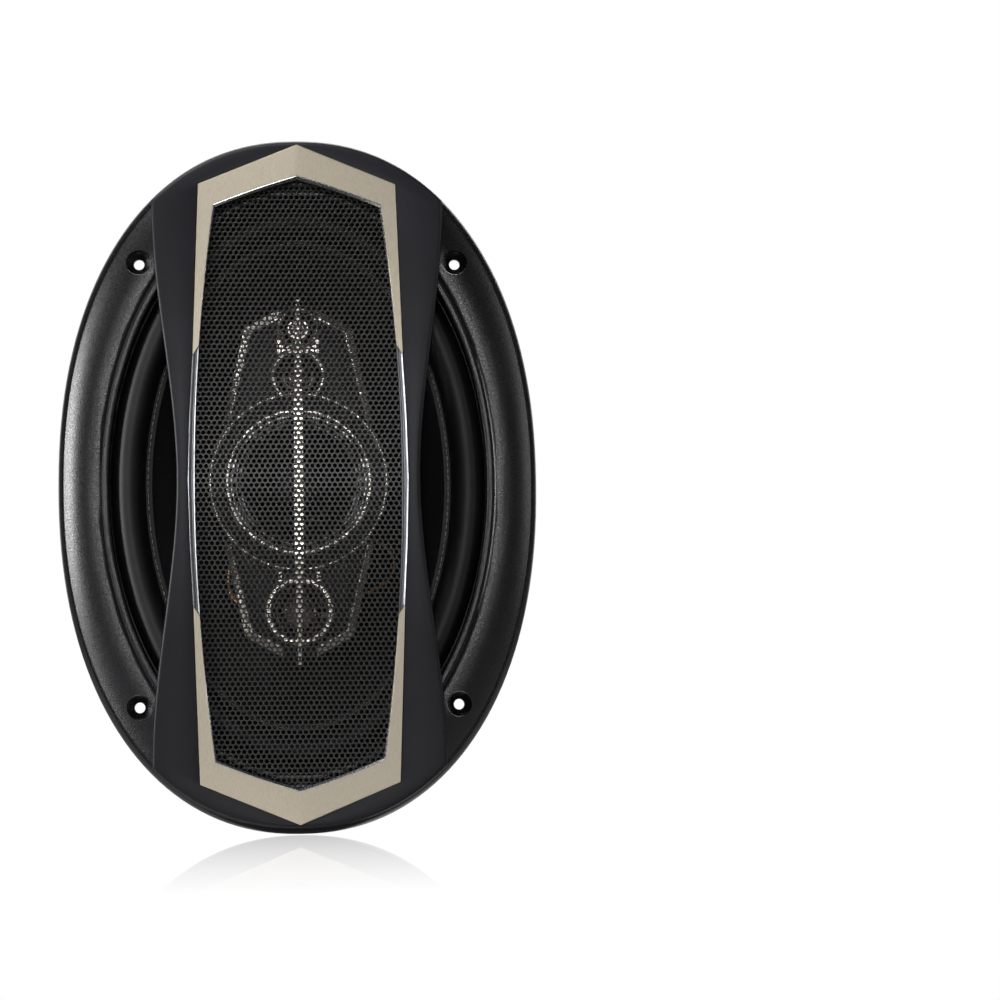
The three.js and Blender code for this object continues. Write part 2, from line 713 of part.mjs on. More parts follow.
function grilleBridge() {
  const outer = plate(hourglass(0), -plateReach, 0);
  const skin = common(outer, archLayer(0, grilleSkin));
  const waistRearY = -archHeight + wallWaistDepth;
  const reach = grilleHalfLength + 2;
  const body = slab([
    ...sampled(-reach, reach, archSteps, (z) => [z, archY(z)]),
    [reach, footY], [wallLiftTo, footY], [wallLiftFrom, waistRearY],
    [-wallLiftFrom, waistRearY], [-wallLiftTo, footY], [-reach, footY],
  ]);
  const core = plate(hourglass(bridgeWall), -plateReach - 1, 1);
  const walls = cutBy(toSolid(outer), core).intersect(toSolid(body));
  const inlays = [1, -1].flatMap((sign) => [chevron(sign, inlayClearance), blade(sign, inlayClearance)])
    .map((points) => common(plate(points, -plateReach, 0), archLayer(-5, inlayDepth)));
  const shell = cutBy(skin.add(walls), plate(meshWindow(0), -plateReach - 1, 1));
  return inlays.reduce((rest, inlay) => rest.subtract(inlay), shell);
}

// A solid with this outline that lies in the grille's arched front, a little proud of it.
function inlay(outline) {
  return common(plate(outline, -plateReach, 0), archLayer(-inlayRise, inlayDepth - gap));
}

// ---- Assembly: basket and motor ----
const lipFrontY = lipBackY - rubber;
const gasketBackY = lipFrontY - gap;
const gasketInner = grown(rollOuter, gasketLap);
add("basket", basket(), finishes.basket);
add("surround_gasket", turned([
  [...lipOuter, gasketBackY], [...gasketInner, gasketBackY],
  [...gasketInner, gasketBackY - gasketThickness], [...lipOuter, gasketBackY - gasketThickness],
]), finishes.gasket);
add("top_plate", tube(topPlateHole, topPlateRadius, topPlateY, topPlateY + topPlateThickness), finishes.steel);
add("magnet", tube(magnetHole, magnetRadius, magnetY, magnetY + magnetThickness), finishes.ferrite);

const poleFrontY = topPlateY - poleStep;
const yokeRearY = yokeY + yokeThickness;
const boltSeatY = yokeRearY - boltHeadThickness - 2 * gap;
const boltRecessRadius = boltHeadRadius + boltRecessClearance;
const boltRadius = boltHoleRadius - gap;
add("t_yoke", round([
  [boltHoleRadius, poleFrontY], [poleRadius, poleFrontY], [poleRadius, yokeY], [topPlateRadius, yokeY],
  [topPlateRadius, yokeRearY], [boltRecessRadius, yokeRearY], [boltRecessRadius, boltSeatY],
  [boltHoleRadius, boltSeatY],
]), finishes.steel);
add("post_bolt", round([
  [0, poleFrontY + gap], [boltRadius, poleFrontY + gap], [boltRadius, boltSeatY + gap],
  [boltHeadRadius, boltSeatY + gap], [boltHeadRadius, yokeRearY - gap], [0, yokeRearY - gap],
], 0, smallSegments), finishes.steel);

// ---- Assembly: woofer ----
const coneRim = oval(coneHalfWidth, coneHalfLength);
const stitchBackY = lipFrontY - gap;
add("cone", cone(), finishes.cone);
add("surround", surround(), finishes.rubber);
add("edge_stitching", turned([
  [...grown(coneRim, -stitchInset - stitchWidth), stitchBackY], [...grown(coneRim, -stitchInset), stitchBackY],
  [...grown(coneRim, -stitchInset - stitchWidth / 2), stitchBackY - stitchHeight],
]), finishes.thread);
const coilFrontY = coilMiddleY - coilLength / 2;
const coilRearY = coilMiddleY + coilLength / 2;
add("voice_coil_former", tube(formerInner, formerOuter, neckY - 1, coilRearY), finishes.former);
add("voice_coil", tube(formerOuter + 0.05, coilOuter, coilFrontY, coilRearY), finishes.copper);
const spiderOuter = spiderShelfRadius - 0.6;
const spiderProfile = (y) => sampled(neckRadius, spiderOuter, corrugations * 2, (r) => {
  const wave = (1 - Math.cos(((r - neckRadius) / (spiderOuter - neckRadius)) * corrugations * 2 * Math.PI)) / 2;
  return [r, y - corrugation * wave];
});
add("spider", round([
  ...spiderProfile(spiderRearY - spiderThickness), ...spiderProfile(spiderRearY).reverse(),
]), finishes.spider);

// ---- Assembly: driver bridge ----
const trimRing = midRingRadius - midRingTrim;
const ringBore = midOpening + midBezelWidth + gap;
const ringTube = (inner, outer, frontY) => tube(inner, outer, frontY, trimBackY, 0, ovalSegments);
add("bridge_post", disc(postRadius, rearCupBackY + gap, poleFrontY - gap), finishes.bridge);
add("bridge_rear_cup", rearCup(), finishes.bridge);
add("bridge_body", bridgeBody(), finishes.bridge);
add("spine_trim", spineTrim(), finishes.trim);
for (const [side, sx] of [["right", 1], ["left", -1]])
  for (const [level, sz] of [["upper", 1], ["lower", -1]])
    add(`side_rail_${level}_${side}`, sideRail(sx, sz), finishes.trim);
add("midrange_outer_trim", ringTube(trimRing, midRingRadius, ringFrontY + 0.3), finishes.trim);
add("midrange_ring", ringTube(ringBore, trimRing - gap, ringFrontY), finishes.bridge);
add("midrange_bezel", ringTube(midOpening, midOpening + midBezelWidth, ringFrontY + 0.1), finishes.trim);

// ---- Assembly: midrange ----
const midFloorY = bridgeFrontY + midFrameDepth;
const midSurroundY = bridgeFrontY + 1.2;
const midSheetY = midSurroundY - midSheet;
const midSeatInner = midOpening - 0.2;
const capY = midSurroundY + midConeDepth;
const capRadius = midNeckRadius - gap;
const capInner = capRadius - 0.8;
add("midrange_frame", round([
  [midOpening + midBezelWidth, bridgeFrontY], [midOpening + midBezelWidth, midFloorY],
  [midNeckRadius + 1.6, midFloorY], [midNeckRadius + 1.6, midFloorY - midFrameWall],
  [midOpening - 3, midFloorY - midFrameWall], [midSeatInner, bridgeFrontY + 6], [midSeatInner, bridgeFrontY],
]), finishes.gloss);
add("midrange_surround", round([
  [midOpening - midLanding, midSurroundY], [midOpening - midLanding, midSheetY],
  [midConeRadius + midRollWidth, midSheetY], [midConeRadius + midRollWidth / 2, midSheetY - midRollHeight],
  [midConeRadius + gap, midSheetY], [midConeRadius + gap, midSurroundY],
]), finishes.gloss);
add("midrange_cone", round([
  [midConeRadius, midSheetY], [midNeckRadius, midSheetY + midConeDepth],
  [midNeckRadius - midConeWall, capY + 1.5], [midNeckRadius, capY + 5], [midNeckRadius + midConeWall, capY + 5],
  [midNeckRadius + midConeWall, capY + 0.6], [midConeRadius, midSheetY + midRimHeight],
]), finishes.gloss);
add("midrange_dust_cap", round([
  [0, capY - 6.2], [capRadius * 0.5, capY - 5.2], [capRadius * 0.81, capY - 3], [capRadius, capY - 0.6],
  [capInner, capY - 0.6], [capInner * 0.82, capY - 2.4], [capInner * 0.5, capY - 4.5], [0, capY - 5.4],
]), finishes.softDome);
const poleY = midFloorY + gap - midPoleHeight;
const poleOuter = midNeckRadius - midConeWall - midGap;
const grooveOuter = midNeckRadius + midConeWall + midGap;
const midMagnetY = midFloorY + gap;
add("midrange_magnet", round([
  [0, poleY], [poleOuter, poleY], [poleOuter, midMagnetY + midGrooveDepth],
  [grooveOuter, midMagnetY + midGrooveDepth], [grooveOuter, midMagnetY], [midMagnetRadius, midMagnetY],
  [midMagnetRadius, midMagnetY + midMagnetThickness], [0, midMagnetY + midMagnetThickness],
]), finishes.ferrite);

for (const t of tweeters) {
  add(`tweeter_cup_${t.name}`, tweeterCup(t), finishes.domeCup);
  add(`tweeter_dome_${t.name}`, tweeterDome(t), finishes.dome);
}

add("bridge_lead_right", lead([
  [24, 7, -18.4], [28.6, 3.6, -21], [32.6, 2.2, -23.6], [35.6, 2.2, -27.6], [35.4, 2.2, -33.4],
  [31.2, 2.2, -38.2], [24.1, 1.6, -41.6], [17, -0.2, -43.8], [12, -0.8, -45],
], leadRadius, 22), finishes.lead);
add("bridge_lead_left", lead([
  [-22, 7, -21], [-25.4, 3.4, -27.6], [-26.5, 2.2, -33], [-26.7, 2.2, -38], [-24.8, 1.8, -43],
  [-19, 0.2, -45.6], [-12, -0.8, -46.5],
], leadRadius, 18), finishes.lead);

// ---- Assembly: terminals ----
const boardRearY = boardFrontY + boardDepth;
const tabFaceX = tabPlaneX + gap;
const tabFrontY = boardFrontY + tabStart;
const capacitorY = boardFrontY + capacitorStart;
add("terminal_board", box(
  padFaceX + gap, tabPlaneX, boardFrontY, boardRearY, -boardHalfWidth, boardHalfWidth,
), finishes.board);
for (const { name, z, width } of tabs) {
  const blank = toSolid(box(
    tabFaceX, tabFaceX + tabThickness, tabFrontY, tabFrontY + tabLength, z - width / 2, z + width / 2,
  ));
  const hole = disc(tabHoleRadius, -2, 2, 0, smallSegments)
    .rotateZ(Math.PI / 2)
    .translate(tabFaceX, tabFrontY + tabLength - 3.6, z);
  add(`terminal_${name}`, cutBy(blank, hole), finishes.tin);
}
for (const { name, z, radius } of capacitors)
  add(`capacitor_${name}`, disc(
    radius, capacitorY, capacitorY + capacitorLength, z, 16, tabFaceX + radius,
  ), finishes.sleeve);
for (const [name, side] of [["positive", 1], ["negative", -1]])
  add(`tinsel_lead_${name}`, lead([
    [padFaceX - 0.2, boardFrontY + 3, side * 12.5], [57, boardFrontY + 2.4, side * 12.4],
    [49, boardFrontY + 1.6, side * 11.8], [41, boardFrontY + 0.2, side * 11],
    [34, boardFrontY - 2, side * 9.8], [29.6, boardFrontY - 3.6, side * 8.8],
  ], tinselRadius, 16), finishes.lead);

// ---- Assembly: grille ----
const meshFront = grilleSkin + gap;
const meshBlank = plate(meshWindow(meshMargin), -plateReach, 0);
add("grille_ring", grilleRing(), finishes.grille);
add("grille_bridge", grilleBridge(), finishes.grille);
add("grille_mesh", common(meshBlank, archLayer(meshFront, meshFront + meshThickness)), finishes.mesh);
for (const [name, sign] of [["upper", 1], ["lower", -1]])
  add(`chevron_${name}`, inlay(chevron(sign, 0)), finishes.champagne);
for (const [name, side] of [["right", 1], ["left", -1]])
  add(`waist_blade_${name}`, inlay(blade(side, 0)), finishes.blade);

export default speaker;
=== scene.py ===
from math import atan2, copysign, cos, degrees, hypot, pi, radians, sin, sqrt
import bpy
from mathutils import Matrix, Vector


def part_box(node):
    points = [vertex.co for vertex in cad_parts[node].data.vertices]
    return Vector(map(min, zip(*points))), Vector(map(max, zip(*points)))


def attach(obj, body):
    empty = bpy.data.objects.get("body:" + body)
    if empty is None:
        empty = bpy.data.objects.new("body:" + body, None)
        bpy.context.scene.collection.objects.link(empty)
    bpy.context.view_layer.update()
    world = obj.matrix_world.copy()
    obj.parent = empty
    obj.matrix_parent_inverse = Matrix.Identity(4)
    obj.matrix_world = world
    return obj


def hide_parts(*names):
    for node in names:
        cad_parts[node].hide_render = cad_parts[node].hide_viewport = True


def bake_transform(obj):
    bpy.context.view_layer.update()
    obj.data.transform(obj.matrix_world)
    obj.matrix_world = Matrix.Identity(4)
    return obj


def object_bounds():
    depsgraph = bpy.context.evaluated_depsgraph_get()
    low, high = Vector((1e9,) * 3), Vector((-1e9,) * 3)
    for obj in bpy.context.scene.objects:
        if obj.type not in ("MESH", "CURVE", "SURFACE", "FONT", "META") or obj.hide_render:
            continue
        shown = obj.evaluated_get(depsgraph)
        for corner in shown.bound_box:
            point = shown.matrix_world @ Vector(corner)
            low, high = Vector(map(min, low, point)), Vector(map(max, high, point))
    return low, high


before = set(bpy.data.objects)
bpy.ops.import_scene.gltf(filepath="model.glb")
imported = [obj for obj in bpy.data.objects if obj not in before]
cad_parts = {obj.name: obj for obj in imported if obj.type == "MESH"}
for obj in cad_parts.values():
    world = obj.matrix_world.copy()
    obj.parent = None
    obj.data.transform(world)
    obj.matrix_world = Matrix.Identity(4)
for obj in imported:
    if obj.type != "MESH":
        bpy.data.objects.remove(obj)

from types import SimpleNamespace

import bmesh
import bpy
from mathutils import Euler, Matrix, Vector

mm = 0.001
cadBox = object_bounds()


def cad(name):  # a CAD node's lowest and highest corners, in millimetres
    low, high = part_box(name)
    return Vector(low) / mm, Vector(high) / mm


# Places that several pieces share, all read from the frame
coneLow, coneHigh = cad("cone")
surroundLow, surroundHigh = cad("surround")
basketLow, basketHigh = cad("basket")
ringLow, ringHigh = cad("grille_ring")
archLow = cad("grille_bridge")[0]
meshLow = cad("grille_mesh")[0]
bodyLow, bodyHigh = cad("bridge_body")
spineLow, spineHigh = cad("spine_trim")
trimLow = cad("side_rail_upper_right")[0]
corners = [(sx, sz) for sx in (-1, 1) for sz in (-1, 1)]
screws = [(60.0 * sx, 84.0 * sz) for sx, sz in corners]
wide, middling, small = 128, 72, 40  # steps round big, middling and small turned pieces
standUp = Euler((pi / 2, 0, 0)).to_matrix().to_4x4()


# ---------- mesh helpers ----------
def spun(profile, steps=wide, at=(0, 0)):  # a profile of (radius, y) spun round the Y axis, then moved to (x, z)
    bm = bmesh.new()
    verts = [bm.verts.new((r, y, 0)) for r, y in profile]
    pairs = list(zip(verts, verts[1:]))
    if profile[0][0] > 1e-6:
        pairs.append((verts[-1], verts[0]))
    edges = [bm.edges.new(pair) for pair in pairs]
    bmesh.ops.spin(bm, geom=verts + edges, cent=(0, 0, 0), axis=(0, 1, 0), angle=2 * pi, steps=steps,
                   use_merge=True)
    bmesh.ops.remove_doubles(bm, verts=bm.verts, dist=1e-4)
    bmesh.ops.recalc_face_normals(bm, faces=bm.faces)
    bmesh.ops.translate(bm, vec=(at[0], 0, at[1]), verts=bm.verts)
    return bm


def tube(inner, outer, low, high, steps=wide, at=(0, 0)):  # a plain turned ring, or a disc where inner is 0
    return spun([(inner, low), (outer, low), (outer, high), (inner, high)], steps, at)


def toOval(bm, halfLengthOf, squarenessOf=None):  # stretches a spun piece: its radius stays the half width
    for v in bm.verts:
        r = hypot(v.co.x, v.co.z)
        if r < 1e-6:
            continue
        across, along = v.co.x / r, v.co.z / r
        power = 2 / (squarenessOf(r) if squarenessOf else 2.0)
        v.co.x = r * copysign(abs(across) ** power, across)
        v.co.z = halfLengthOf(r) * copysign(abs(along) ** power, along)
    return bm


def prism(outline, front, rear):  # a plate whose outline lies in the XZ plane
    bm = bmesh.new()
    face = bm.faces.new([bm.verts.new((x, front, z)) for x, z in outline])
    pushed = bmesh.ops.extrude_face_region(bm, geom=[face])
    moved = [v for v in pushed["geom"] if isinstance(v, bmesh.types.BMVert)]
    bmesh.ops.translate(bm, vec=(0, rear - front, 0), verts=moved)
    bmesh.ops.recalc_face_normals(bm, faces=bm.faces)
    return bm


def lofted(rows, closedRows, closedSection=False):  # a skin over rows with the same number of points
    bm = bmesh.new()
    chains = []
    for row in rows:
        verts = [bm.verts.new(p) for p in row]
        ends = zip(verts, verts[1:] + verts[:1]) if closedRows else zip(verts, verts[1:])
        chains.append([bm.edges.new(pair) for pair in ends])
    following = chains[1:] + chains[:1] if closedSection else chains[1:]
    for first, second in zip(chains, following):
        bmesh.ops.bridge_loops(bm, edges=first + second)
    bmesh.ops.recalc_face_normals(bm, faces=bm.faces)
    return bm


def capped(bm):  # closes the open ends of a skin
    bmesh.ops.holes_fill(bm, edges=bm.edges, sides=0)
    bmesh.ops.recalc_face_normals(bm, faces=bm.faces)
    return bm


def joinedMesh(*parts):  # several bmeshes in one
    whole = bmesh.new()
    for part in parts:
        carrier = bpy.data.meshes.new("carrier")
        part.to_mesh(carrier)
        part.free()
        whole.from_mesh(carrier)
        bpy.data.meshes.remove(carrier)
    return whole


def boxed(centre, size, turn=(0, 0, 0), onto=None):  # a box, in a mesh of its own or added to one
    bm = onto or bmesh.new()
    bmesh.ops.create_cube(bm, size=1, matrix=Matrix.LocRotScale(Vector(centre), Euler(turn), Vector(size)))
    return bm


def swapped(bm):  # what was made along Y then lies along X
    for v in bm.verts:
        v.co.x, v.co.y = v.co.y, v.co.x
    bmesh.ops.recalc_face_normals(bm, faces=bm.faces)
    return bm


def bevelEdges(bm, edges, width, segments=2):
    bmesh.ops.bevel(bm, geom=edges, offset=width, offset_type="OFFSET", affect="EDGES", segments=segments,
                    profile=0.5, material=-1, clamp_overlap=True)
    return bm


def edgesAlong(bm, axis):
    return [e for e in bm.edges if abs((e.verts[0].co - e.verts[1].co).normalized()[axis]) > 0.9]


def toObject(mesh, name):  # takes a bmesh or a mesh
    if isinstance(mesh, bmesh.types.BMesh):
        bm, mesh = mesh, bpy.data.meshes.new(name)
        bm.to_mesh(mesh)
        bm.free()
    made = bpy.data.objects.new(name, mesh)
    bpy.context.collection.objects.link(made)
    return made


def evaluatedMesh(thing):
    return bpy.data.meshes.new_from_object(thing.evaluated_get(bpy.context.evaluated_depsgraph_get()))


def carved(bm, cutters, how="DIFFERENCE"):  # cuts other bmeshes out of one, or joins them to it
    base = toObject(bm, "blank")
    for cutter in cutters:
        tool = toObject(cutter, "tool")
        step = base.modifiers.new("carve", "BOOLEAN")
        step.operation = how
        step.object = tool
        step.solver = "EXACT"
        result = evaluatedMesh(base)
        base.modifiers.clear()
        old = base.data
        base.data = result
        bpy.data.meshes.remove(old)
        bpy.data.objects.remove(tool)
    out = bmesh.new()
    out.from_mesh(base.data)
    bpy.data.objects.remove(base)
    bmesh.ops.dissolve_limit(out, angle_limit=radians(0.4), verts=out.verts, edges=out.edges)
    return out


def placed(piece, finish, body, stands):  # gives a piece its material, its body and what it stands for
    piece.data.materials.clear()
    piece.data.materials.append(mats[finish])
    for face in piece.data.polygons:
        face.use_smooth = True
    if body:
        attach(piece, body)
    if stands:
        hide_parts(stands)
    return piece


def finished(bm, name, finish, stands, body="chassis", soft=0.0, angle=38):
    bmesh.ops.scale(bm, vec=(mm, mm, mm), verts=bm.verts)
    piece = placed(toObject(bm, name), finish, body, stands)
    piece.data.set_sharp_from_angle(angle=radians(angle))
    if soft:
        bevel = piece.modifiers.new("softEdges", "BEVEL")
        bevel.width = soft * mm
        bevel.segments = 2
        bevel.limit_method = "ANGLE"
        bevel.angle_limit = radians(angle)
        bevel.use_clamp_overlap = True
    return piece


def smoothStep(share):
    return share * share * (3 - 2 * share)


def arc(centre, radius, start, end, count, squash=1.0):  # points (r, y) round part of a circle
    return [(centre[0] + radius * cos(radians(start + (end - start) * i / count)),
             centre[1] + squash * radius * sin(radians(start + (end - start) * i / count)))
            for i in range(count + 1)]


def between(value, pairs):  # straight lines through (input, output) pairs
    for (x0, y0), (x1, y1) in zip(pairs, pairs[1:]):
        if value <= x1:
            return y0 + (y1 - y0) * (value - x0) / (x1 - x0)
    return pairs[-1][1]


# ---------- materials ----------
def shade(code):  # sRGB hex to linear
    parts = [int(code[i:i + 2], 16) / 255 for i in (1, 3, 5)]
    return tuple(c / 12.92 if c <= 0.04045 else ((c + 0.055) / 1.055) ** 2.4 for c in parts) + (1.0,)


def add(tree, kind, inputs=None, **settings):  # one node with its settings, values and links
    made = tree.nodes.new(kind)
    for name, value in settings.items():
        setattr(made, name, value)
    for name, value in (inputs or {}).items():
        if isinstance(value, bpy.types.NodeSocket):
            tree.links.new(value, made.inputs[name])
        else:
            made.inputs[name].default_value = value
    return made


def begun(name, values):  # a material with its shader and object coordinates
    material = bpy.data.materials.new(name)
    material.use_nodes = True
    tree = material.node_tree
    tree.nodes.clear()
    shader = add(tree, "ShaderNodeBsdfPrincipled", values)
    add(tree, "ShaderNodeOutputMaterial", {"Surface": shader.outputs["BSDF"]})
    where = add(tree, "ShaderNodeTexCoord").outputs["Object"]
    return SimpleNamespace(material=material, tree=tree, shader=shader, where=where)


def perMetre(sizeMm):  # texture scale for features of this size
    return 1.0 / (sizeMm * mm)


def noise(stuff, sizeMm, detail=3.0, where=None, **more):
    inputs = {"Vector": where or stuff.where, "Scale": perMetre(sizeMm), "Detail": detail, **more}
    return add(stuff.tree, "ShaderNodeTexNoise", inputs).outputs["Fac"]


def cells(stuff, sizeMm):
    return add(stuff.tree, "ShaderNodeTexVoronoi", {"Vector": stuff.where, "Scale": perMetre(sizeMm)}).outputs


def bands(stuff, sizeMm, direction, **more):
    inputs = {"Vector": stuff.where, "Scale": perMetre(sizeMm), **more}
    return add(stuff.tree, "ShaderNodeTexWave", inputs, wave_type="BANDS", bands_direction=direction).outputs["Fac"]


def stretched(stuff, scale):  # coordinates that draw a texture out along an axis
    return add(stuff.tree, "ShaderNodeMapping", {"Vector": stuff.where, "Scale": scale}).outputs["Vector"]


def joint(stuff, first, second, operation):
    return add(stuff.tree, "ShaderNodeMath", {0: first, 1: second}, operation=operation).outputs[0]


def ramp(tree, factor, stops):  # two stops, each a place and a hex colour or a grey value
    made = add(tree, "ShaderNodeValToRGB", {"Fac": factor})
    for element, (position, value) in zip(made.color_ramp.elements, stops):
        element.position = position
        element.color = shade(value) if isinstance(value, str) else (value, value, value, 1)
    return made.outputs["Color"]


def coloured(stuff, factor, low, high, over=None, patch=None):  # patch lies over the base colour
    base = ramp(stuff.tree, factor, [low, high])
    if over is not None:
        inputs = {"Factor": over, "A": base, "B": shade(patch)}
        base = add(stuff.tree, "ShaderNodeMix", inputs, data_type="RGBA").outputs["Result"]
    stuff.tree.links.new(base, stuff.shader.inputs["Base Color"])


def glossed(stuff, factor, low, high):
    stuff.tree.links.new(ramp(stuff.tree, factor, [low, high]), stuff.shader.inputs["Roughness"])


def bumped(stuff, height, strength, depthMm, onto=None):
    inputs = {"Height": height, "Strength": strength, "Distance": depthMm * mm}
    if onto is not None:
        inputs["Normal"] = onto
    normal = add(stuff.tree, "ShaderNodeBump", inputs).outputs["Normal"]
    stuff.tree.links.new(normal, stuff.shader.inputs["Normal"])
    return stuff.material if onto is not None else normal


def paintedEdgeHighlight(stuff):  # painted highlight: lighter colour along sharp edges, where light catches them
    across = add(stuff.tree, "ShaderNodeBevel", {"Radius": 0.5 * mm}, samples=4).outputs["Normal"]
    flat = add(stuff.tree, "ShaderNodeNewGeometry").outputs["Normal"]
    turned = add(stuff.tree, "ShaderNodeVectorMath", {0: across, 1: flat}, operation="DOT_PRODUCT").outputs["Value"]
    return ramp(stuff.tree, turned, [(0.80, 1.0), (0.985, 0.0)])


def grainedPlastic(name, dark, light, rough, grainMm, depthMm, specular=0.5):
    # moulded plastic from a spark-eroded tool: fine even grain that breaks up its highlights
    stuff = begun(name, {"Specular IOR Level": specular, "IOR": 1.5})
    fine = noise(stuff, grainMm, Roughness=0.6)
    # the light colour laid along sharp edges is a painted highlight
    coloured(stuff, noise(stuff, 22, 4.0), (0.35, dark), (0.7, light), paintedEdgeHighlight(stuff), light)
    glossed(stuff, fine, (0.3, rough - 0.07), (0.7, rough + 0.09))
    bumped(stuff, fine, 0.55, depthMm)
    return stuff.material


def satinMetal(name, colour, deep, rough, brushMm=0.6, stretch=(1, 1, 1)):
    # vacuum-metallised or plated surface under satin lacquer: even sheen with faint drawn lines
    stuff = begun(name, {"Metallic": 1.0})
    lines = noise(stuff, brushMm, 4.0, stretched(stuff, stretch), Roughness=0.65)
    coloured(stuff, joint(stuff, lines, noise(stuff, 9), "ADD"), (0.3, deep), (0.75, colour))
    glossed(stuff, lines, (0.3, rough - 0.06), (0.7, rough + 0.08))
    bumped(stuff, lines, 0.25, 0.02)
    return stuff.material


def glossBlack():  # polypropylene cone, polished tool: deep black with sharp reflections
    stuff = begun("polishedPolypropylene", {"Base Color": shade("#060608"), "IOR": 1.49, "Coat Weight": 0.6,
                                            "Coat Roughness": 0.06})
    glossed(stuff, noise(stuff, 6, 5.0), (0.4, 0.08), (0.75, 0.2))
    bumped(stuff, cells(stuff, 2.2)["Distance"], 0.05, 0.02)
    return stuff.material


def butylRubber():  # moulded butyl: near black, soft low sheen, dusty bloom in the creases
    stuff = begun("butylRubberRoll", {"IOR": 1.52, "Specular IOR Level": 0.36})
    fine = noise(stuff, 0.5)
    coloured(stuff, noise(stuff, 14, 5.0), (0.35, "#08080a"), (0.75, "#101112"))
    glossed(stuff, fine, (0.3, 0.4), (0.7, 0.54))
    bumped(stuff, fine, 0.35, 0.03)
    return stuff.material


def conePulp():  # black pulp with mica flecks: matte felted fibre that glints in points
    stuff = begun("micaPulpCone", {"IOR": 1.45, "Specular IOR Level": 0.35})
    fibre = noise(stuff, 0.7, 6.0, Roughness=0.7, Distortion=1.2)
    mica = cells(stuff, 1.3)
    fleck = ramp(stuff.tree, mica["Distance"], [(0.10, 1.0), (0.15, 0.0)])
    chosen = ramp(stuff.tree, mica["Color"], [(0.62, 0.0), (0.7, 1.0)])
    shown = joint(stuff, fleck, chosen, "MULTIPLY")
    coloured(stuff, fibre, (0.3, "#0e0f10"), (0.75, "#1d1e1f"), shown, "#54595a")
    glossed(stuff, fibre, (0.3, 0.62), (0.7, 0.8))
    bumped(stuff, fibre, 0.5, 0.06)
    return stuff.material


def cottonThread():  # twisted cotton, off white, fuzzy
    stuff = begun("cottonStitching", {"Roughness": 0.85, "Sheen Weight": 0.3})
    twist = noise(stuff, 0.6)
    coloured(stuff, twist, (0.3, "#7d7a72"), (0.7, "#cfccc2"))
    bumped(stuff, twist, 0.6, 0.05)
    return stuff.material


def champagneFoil():  # hot-stamped aluminium foil under tinted lacquer: fine upright brushing, warm grey gold
    stuff = begun("champagneBrushedFoil", {"Metallic": 0.82})
    lines = noise(stuff, 0.28, 5.0, stretched(stuff, (1, 1, 0.02)), Roughness=0.7)
    dust = ramp(stuff.tree, cells(stuff, 3.4)["Distance"], [(0.03, 1.0), (0.06, 0.0)])
    coloured(stuff, lines, (0.3, "#b1a795"), (0.72, "#c8bfae"), dust, "#7d7464")
    glossed(stuff, lines, (0.3, 0.38), (0.7, 0.52))
    bumped(stuff, lines, 0.3, 0.015)
    return stuff.material


def meshSteel():  # punched sheet with black electro-coat: satin, brighter on the burr of each hole
    stuff = begun("electroCoatedSteelMesh", {"Metallic": 0.25, "Specular IOR Level": 0.6})
    fine = noise(stuff, 0.9, 4.0)
    coloured(stuff, fine, (0.3, "#121110"), (0.75, "#262422"))
    glossed(stuff, fine, (0.3, 0.28), (0.7, 0.42))
    bumped(stuff, fine, 0.3, 0.03)
    return stuff.material


def turnedSteel():  # zinc-plated steel, faced on a lathe: fine rings round the axis, slight yellow
    stuff = begun("zincPlatedTurnedSteel", {"Metallic": 1.0})
    inputs = {"Vector": stuff.where, "Scale": perMetre(9.0), "Distortion": 0.6, "Detail": 3.0}
    rings = add(stuff.tree, "ShaderNodeTexWave", inputs, wave_type="RINGS", rings_direction="Y").outputs["Fac"]
    coloured(stuff, noise(stuff, 12, 5.0), (0.3, "#9b9a92"), (0.7, "#c7c5bb"))
    glossed(stuff, rings, (0.2, 0.26), (0.8, 0.4))
    bumped(stuff, rings, 0.15, 0.02)
    return stuff.material


def sinteredFerrite():  # pressed and sintered ceramic: charcoal, dull, with chips and press marks
    stuff = begun("sinteredFerrite", {"IOR": 1.9, "Specular IOR Level": 0.3})
    grain = noise(stuff, 1.6, 7.0)
    coloured(stuff, grain, (0.3, "#222326"), (0.75, "#3b3c40"))
    glossed(stuff, grain, (0.3, 0.55), (0.7, 0.75))
    bumped(stuff, cells(stuff, 2.4)["Distance"], 0.15, 0.05, bumped(stuff, grain, 0.5, 0.08))
    return stuff.material


def phenolicBoard():  # paper phenolic: brown resin with long paper fibres
    stuff = begun("paperPhenolicBoard", {"IOR": 1.55})
    fibre = noise(stuff, 0.9, 6.0, stretched(stuff, (1, 1, 0.2)))
    coloured(stuff, fibre, (0.3, "#4a3018"), (0.75, "#7b5630"))
    glossed(stuff, fibre, (0.3, 0.35), (0.7, 0.55))
    bumped(stuff, fibre, 0.25, 0.03)
    return stuff.material


def copperWinding():  # enamelled wire laid side by side: fine rounded turns, orange brown
    stuff = begun("enamelledCopperWire", {"Metallic": 1.0, "Coat Weight": 0.4})
    turns = bands(stuff, 2.0, "Y")
    coloured(stuff, turns, (0.1, "#5d2c10"), (0.7, "#c4753a"))
    glossed(stuff, turns, (0.2, 0.4), (0.8, 0.24))
    bumped(stuff, turns, 0.8, 0.15)
    return stuff.material


def dippedCloth():  # open cotton weave dipped in phenolic resin: amber, with threads about 0.6 mm apart
    stuff = begun("phenolicDippedCloth", {"IOR": 1.5, "Sheen Weight": 0.2})
    weave = joint(stuff, bands(stuff, 3.8, "X"), bands(stuff, 3.8, "Z"), "MULTIPLY")
    coloured(stuff, weave, (0.1, "#6b4a16"), (0.7, "#b58a3c"))
    glossed(stuff, weave, (0.1, 0.5), (0.7, 0.75))
    bumped(stuff, weave, 0.7, 0.2)
    return stuff.material


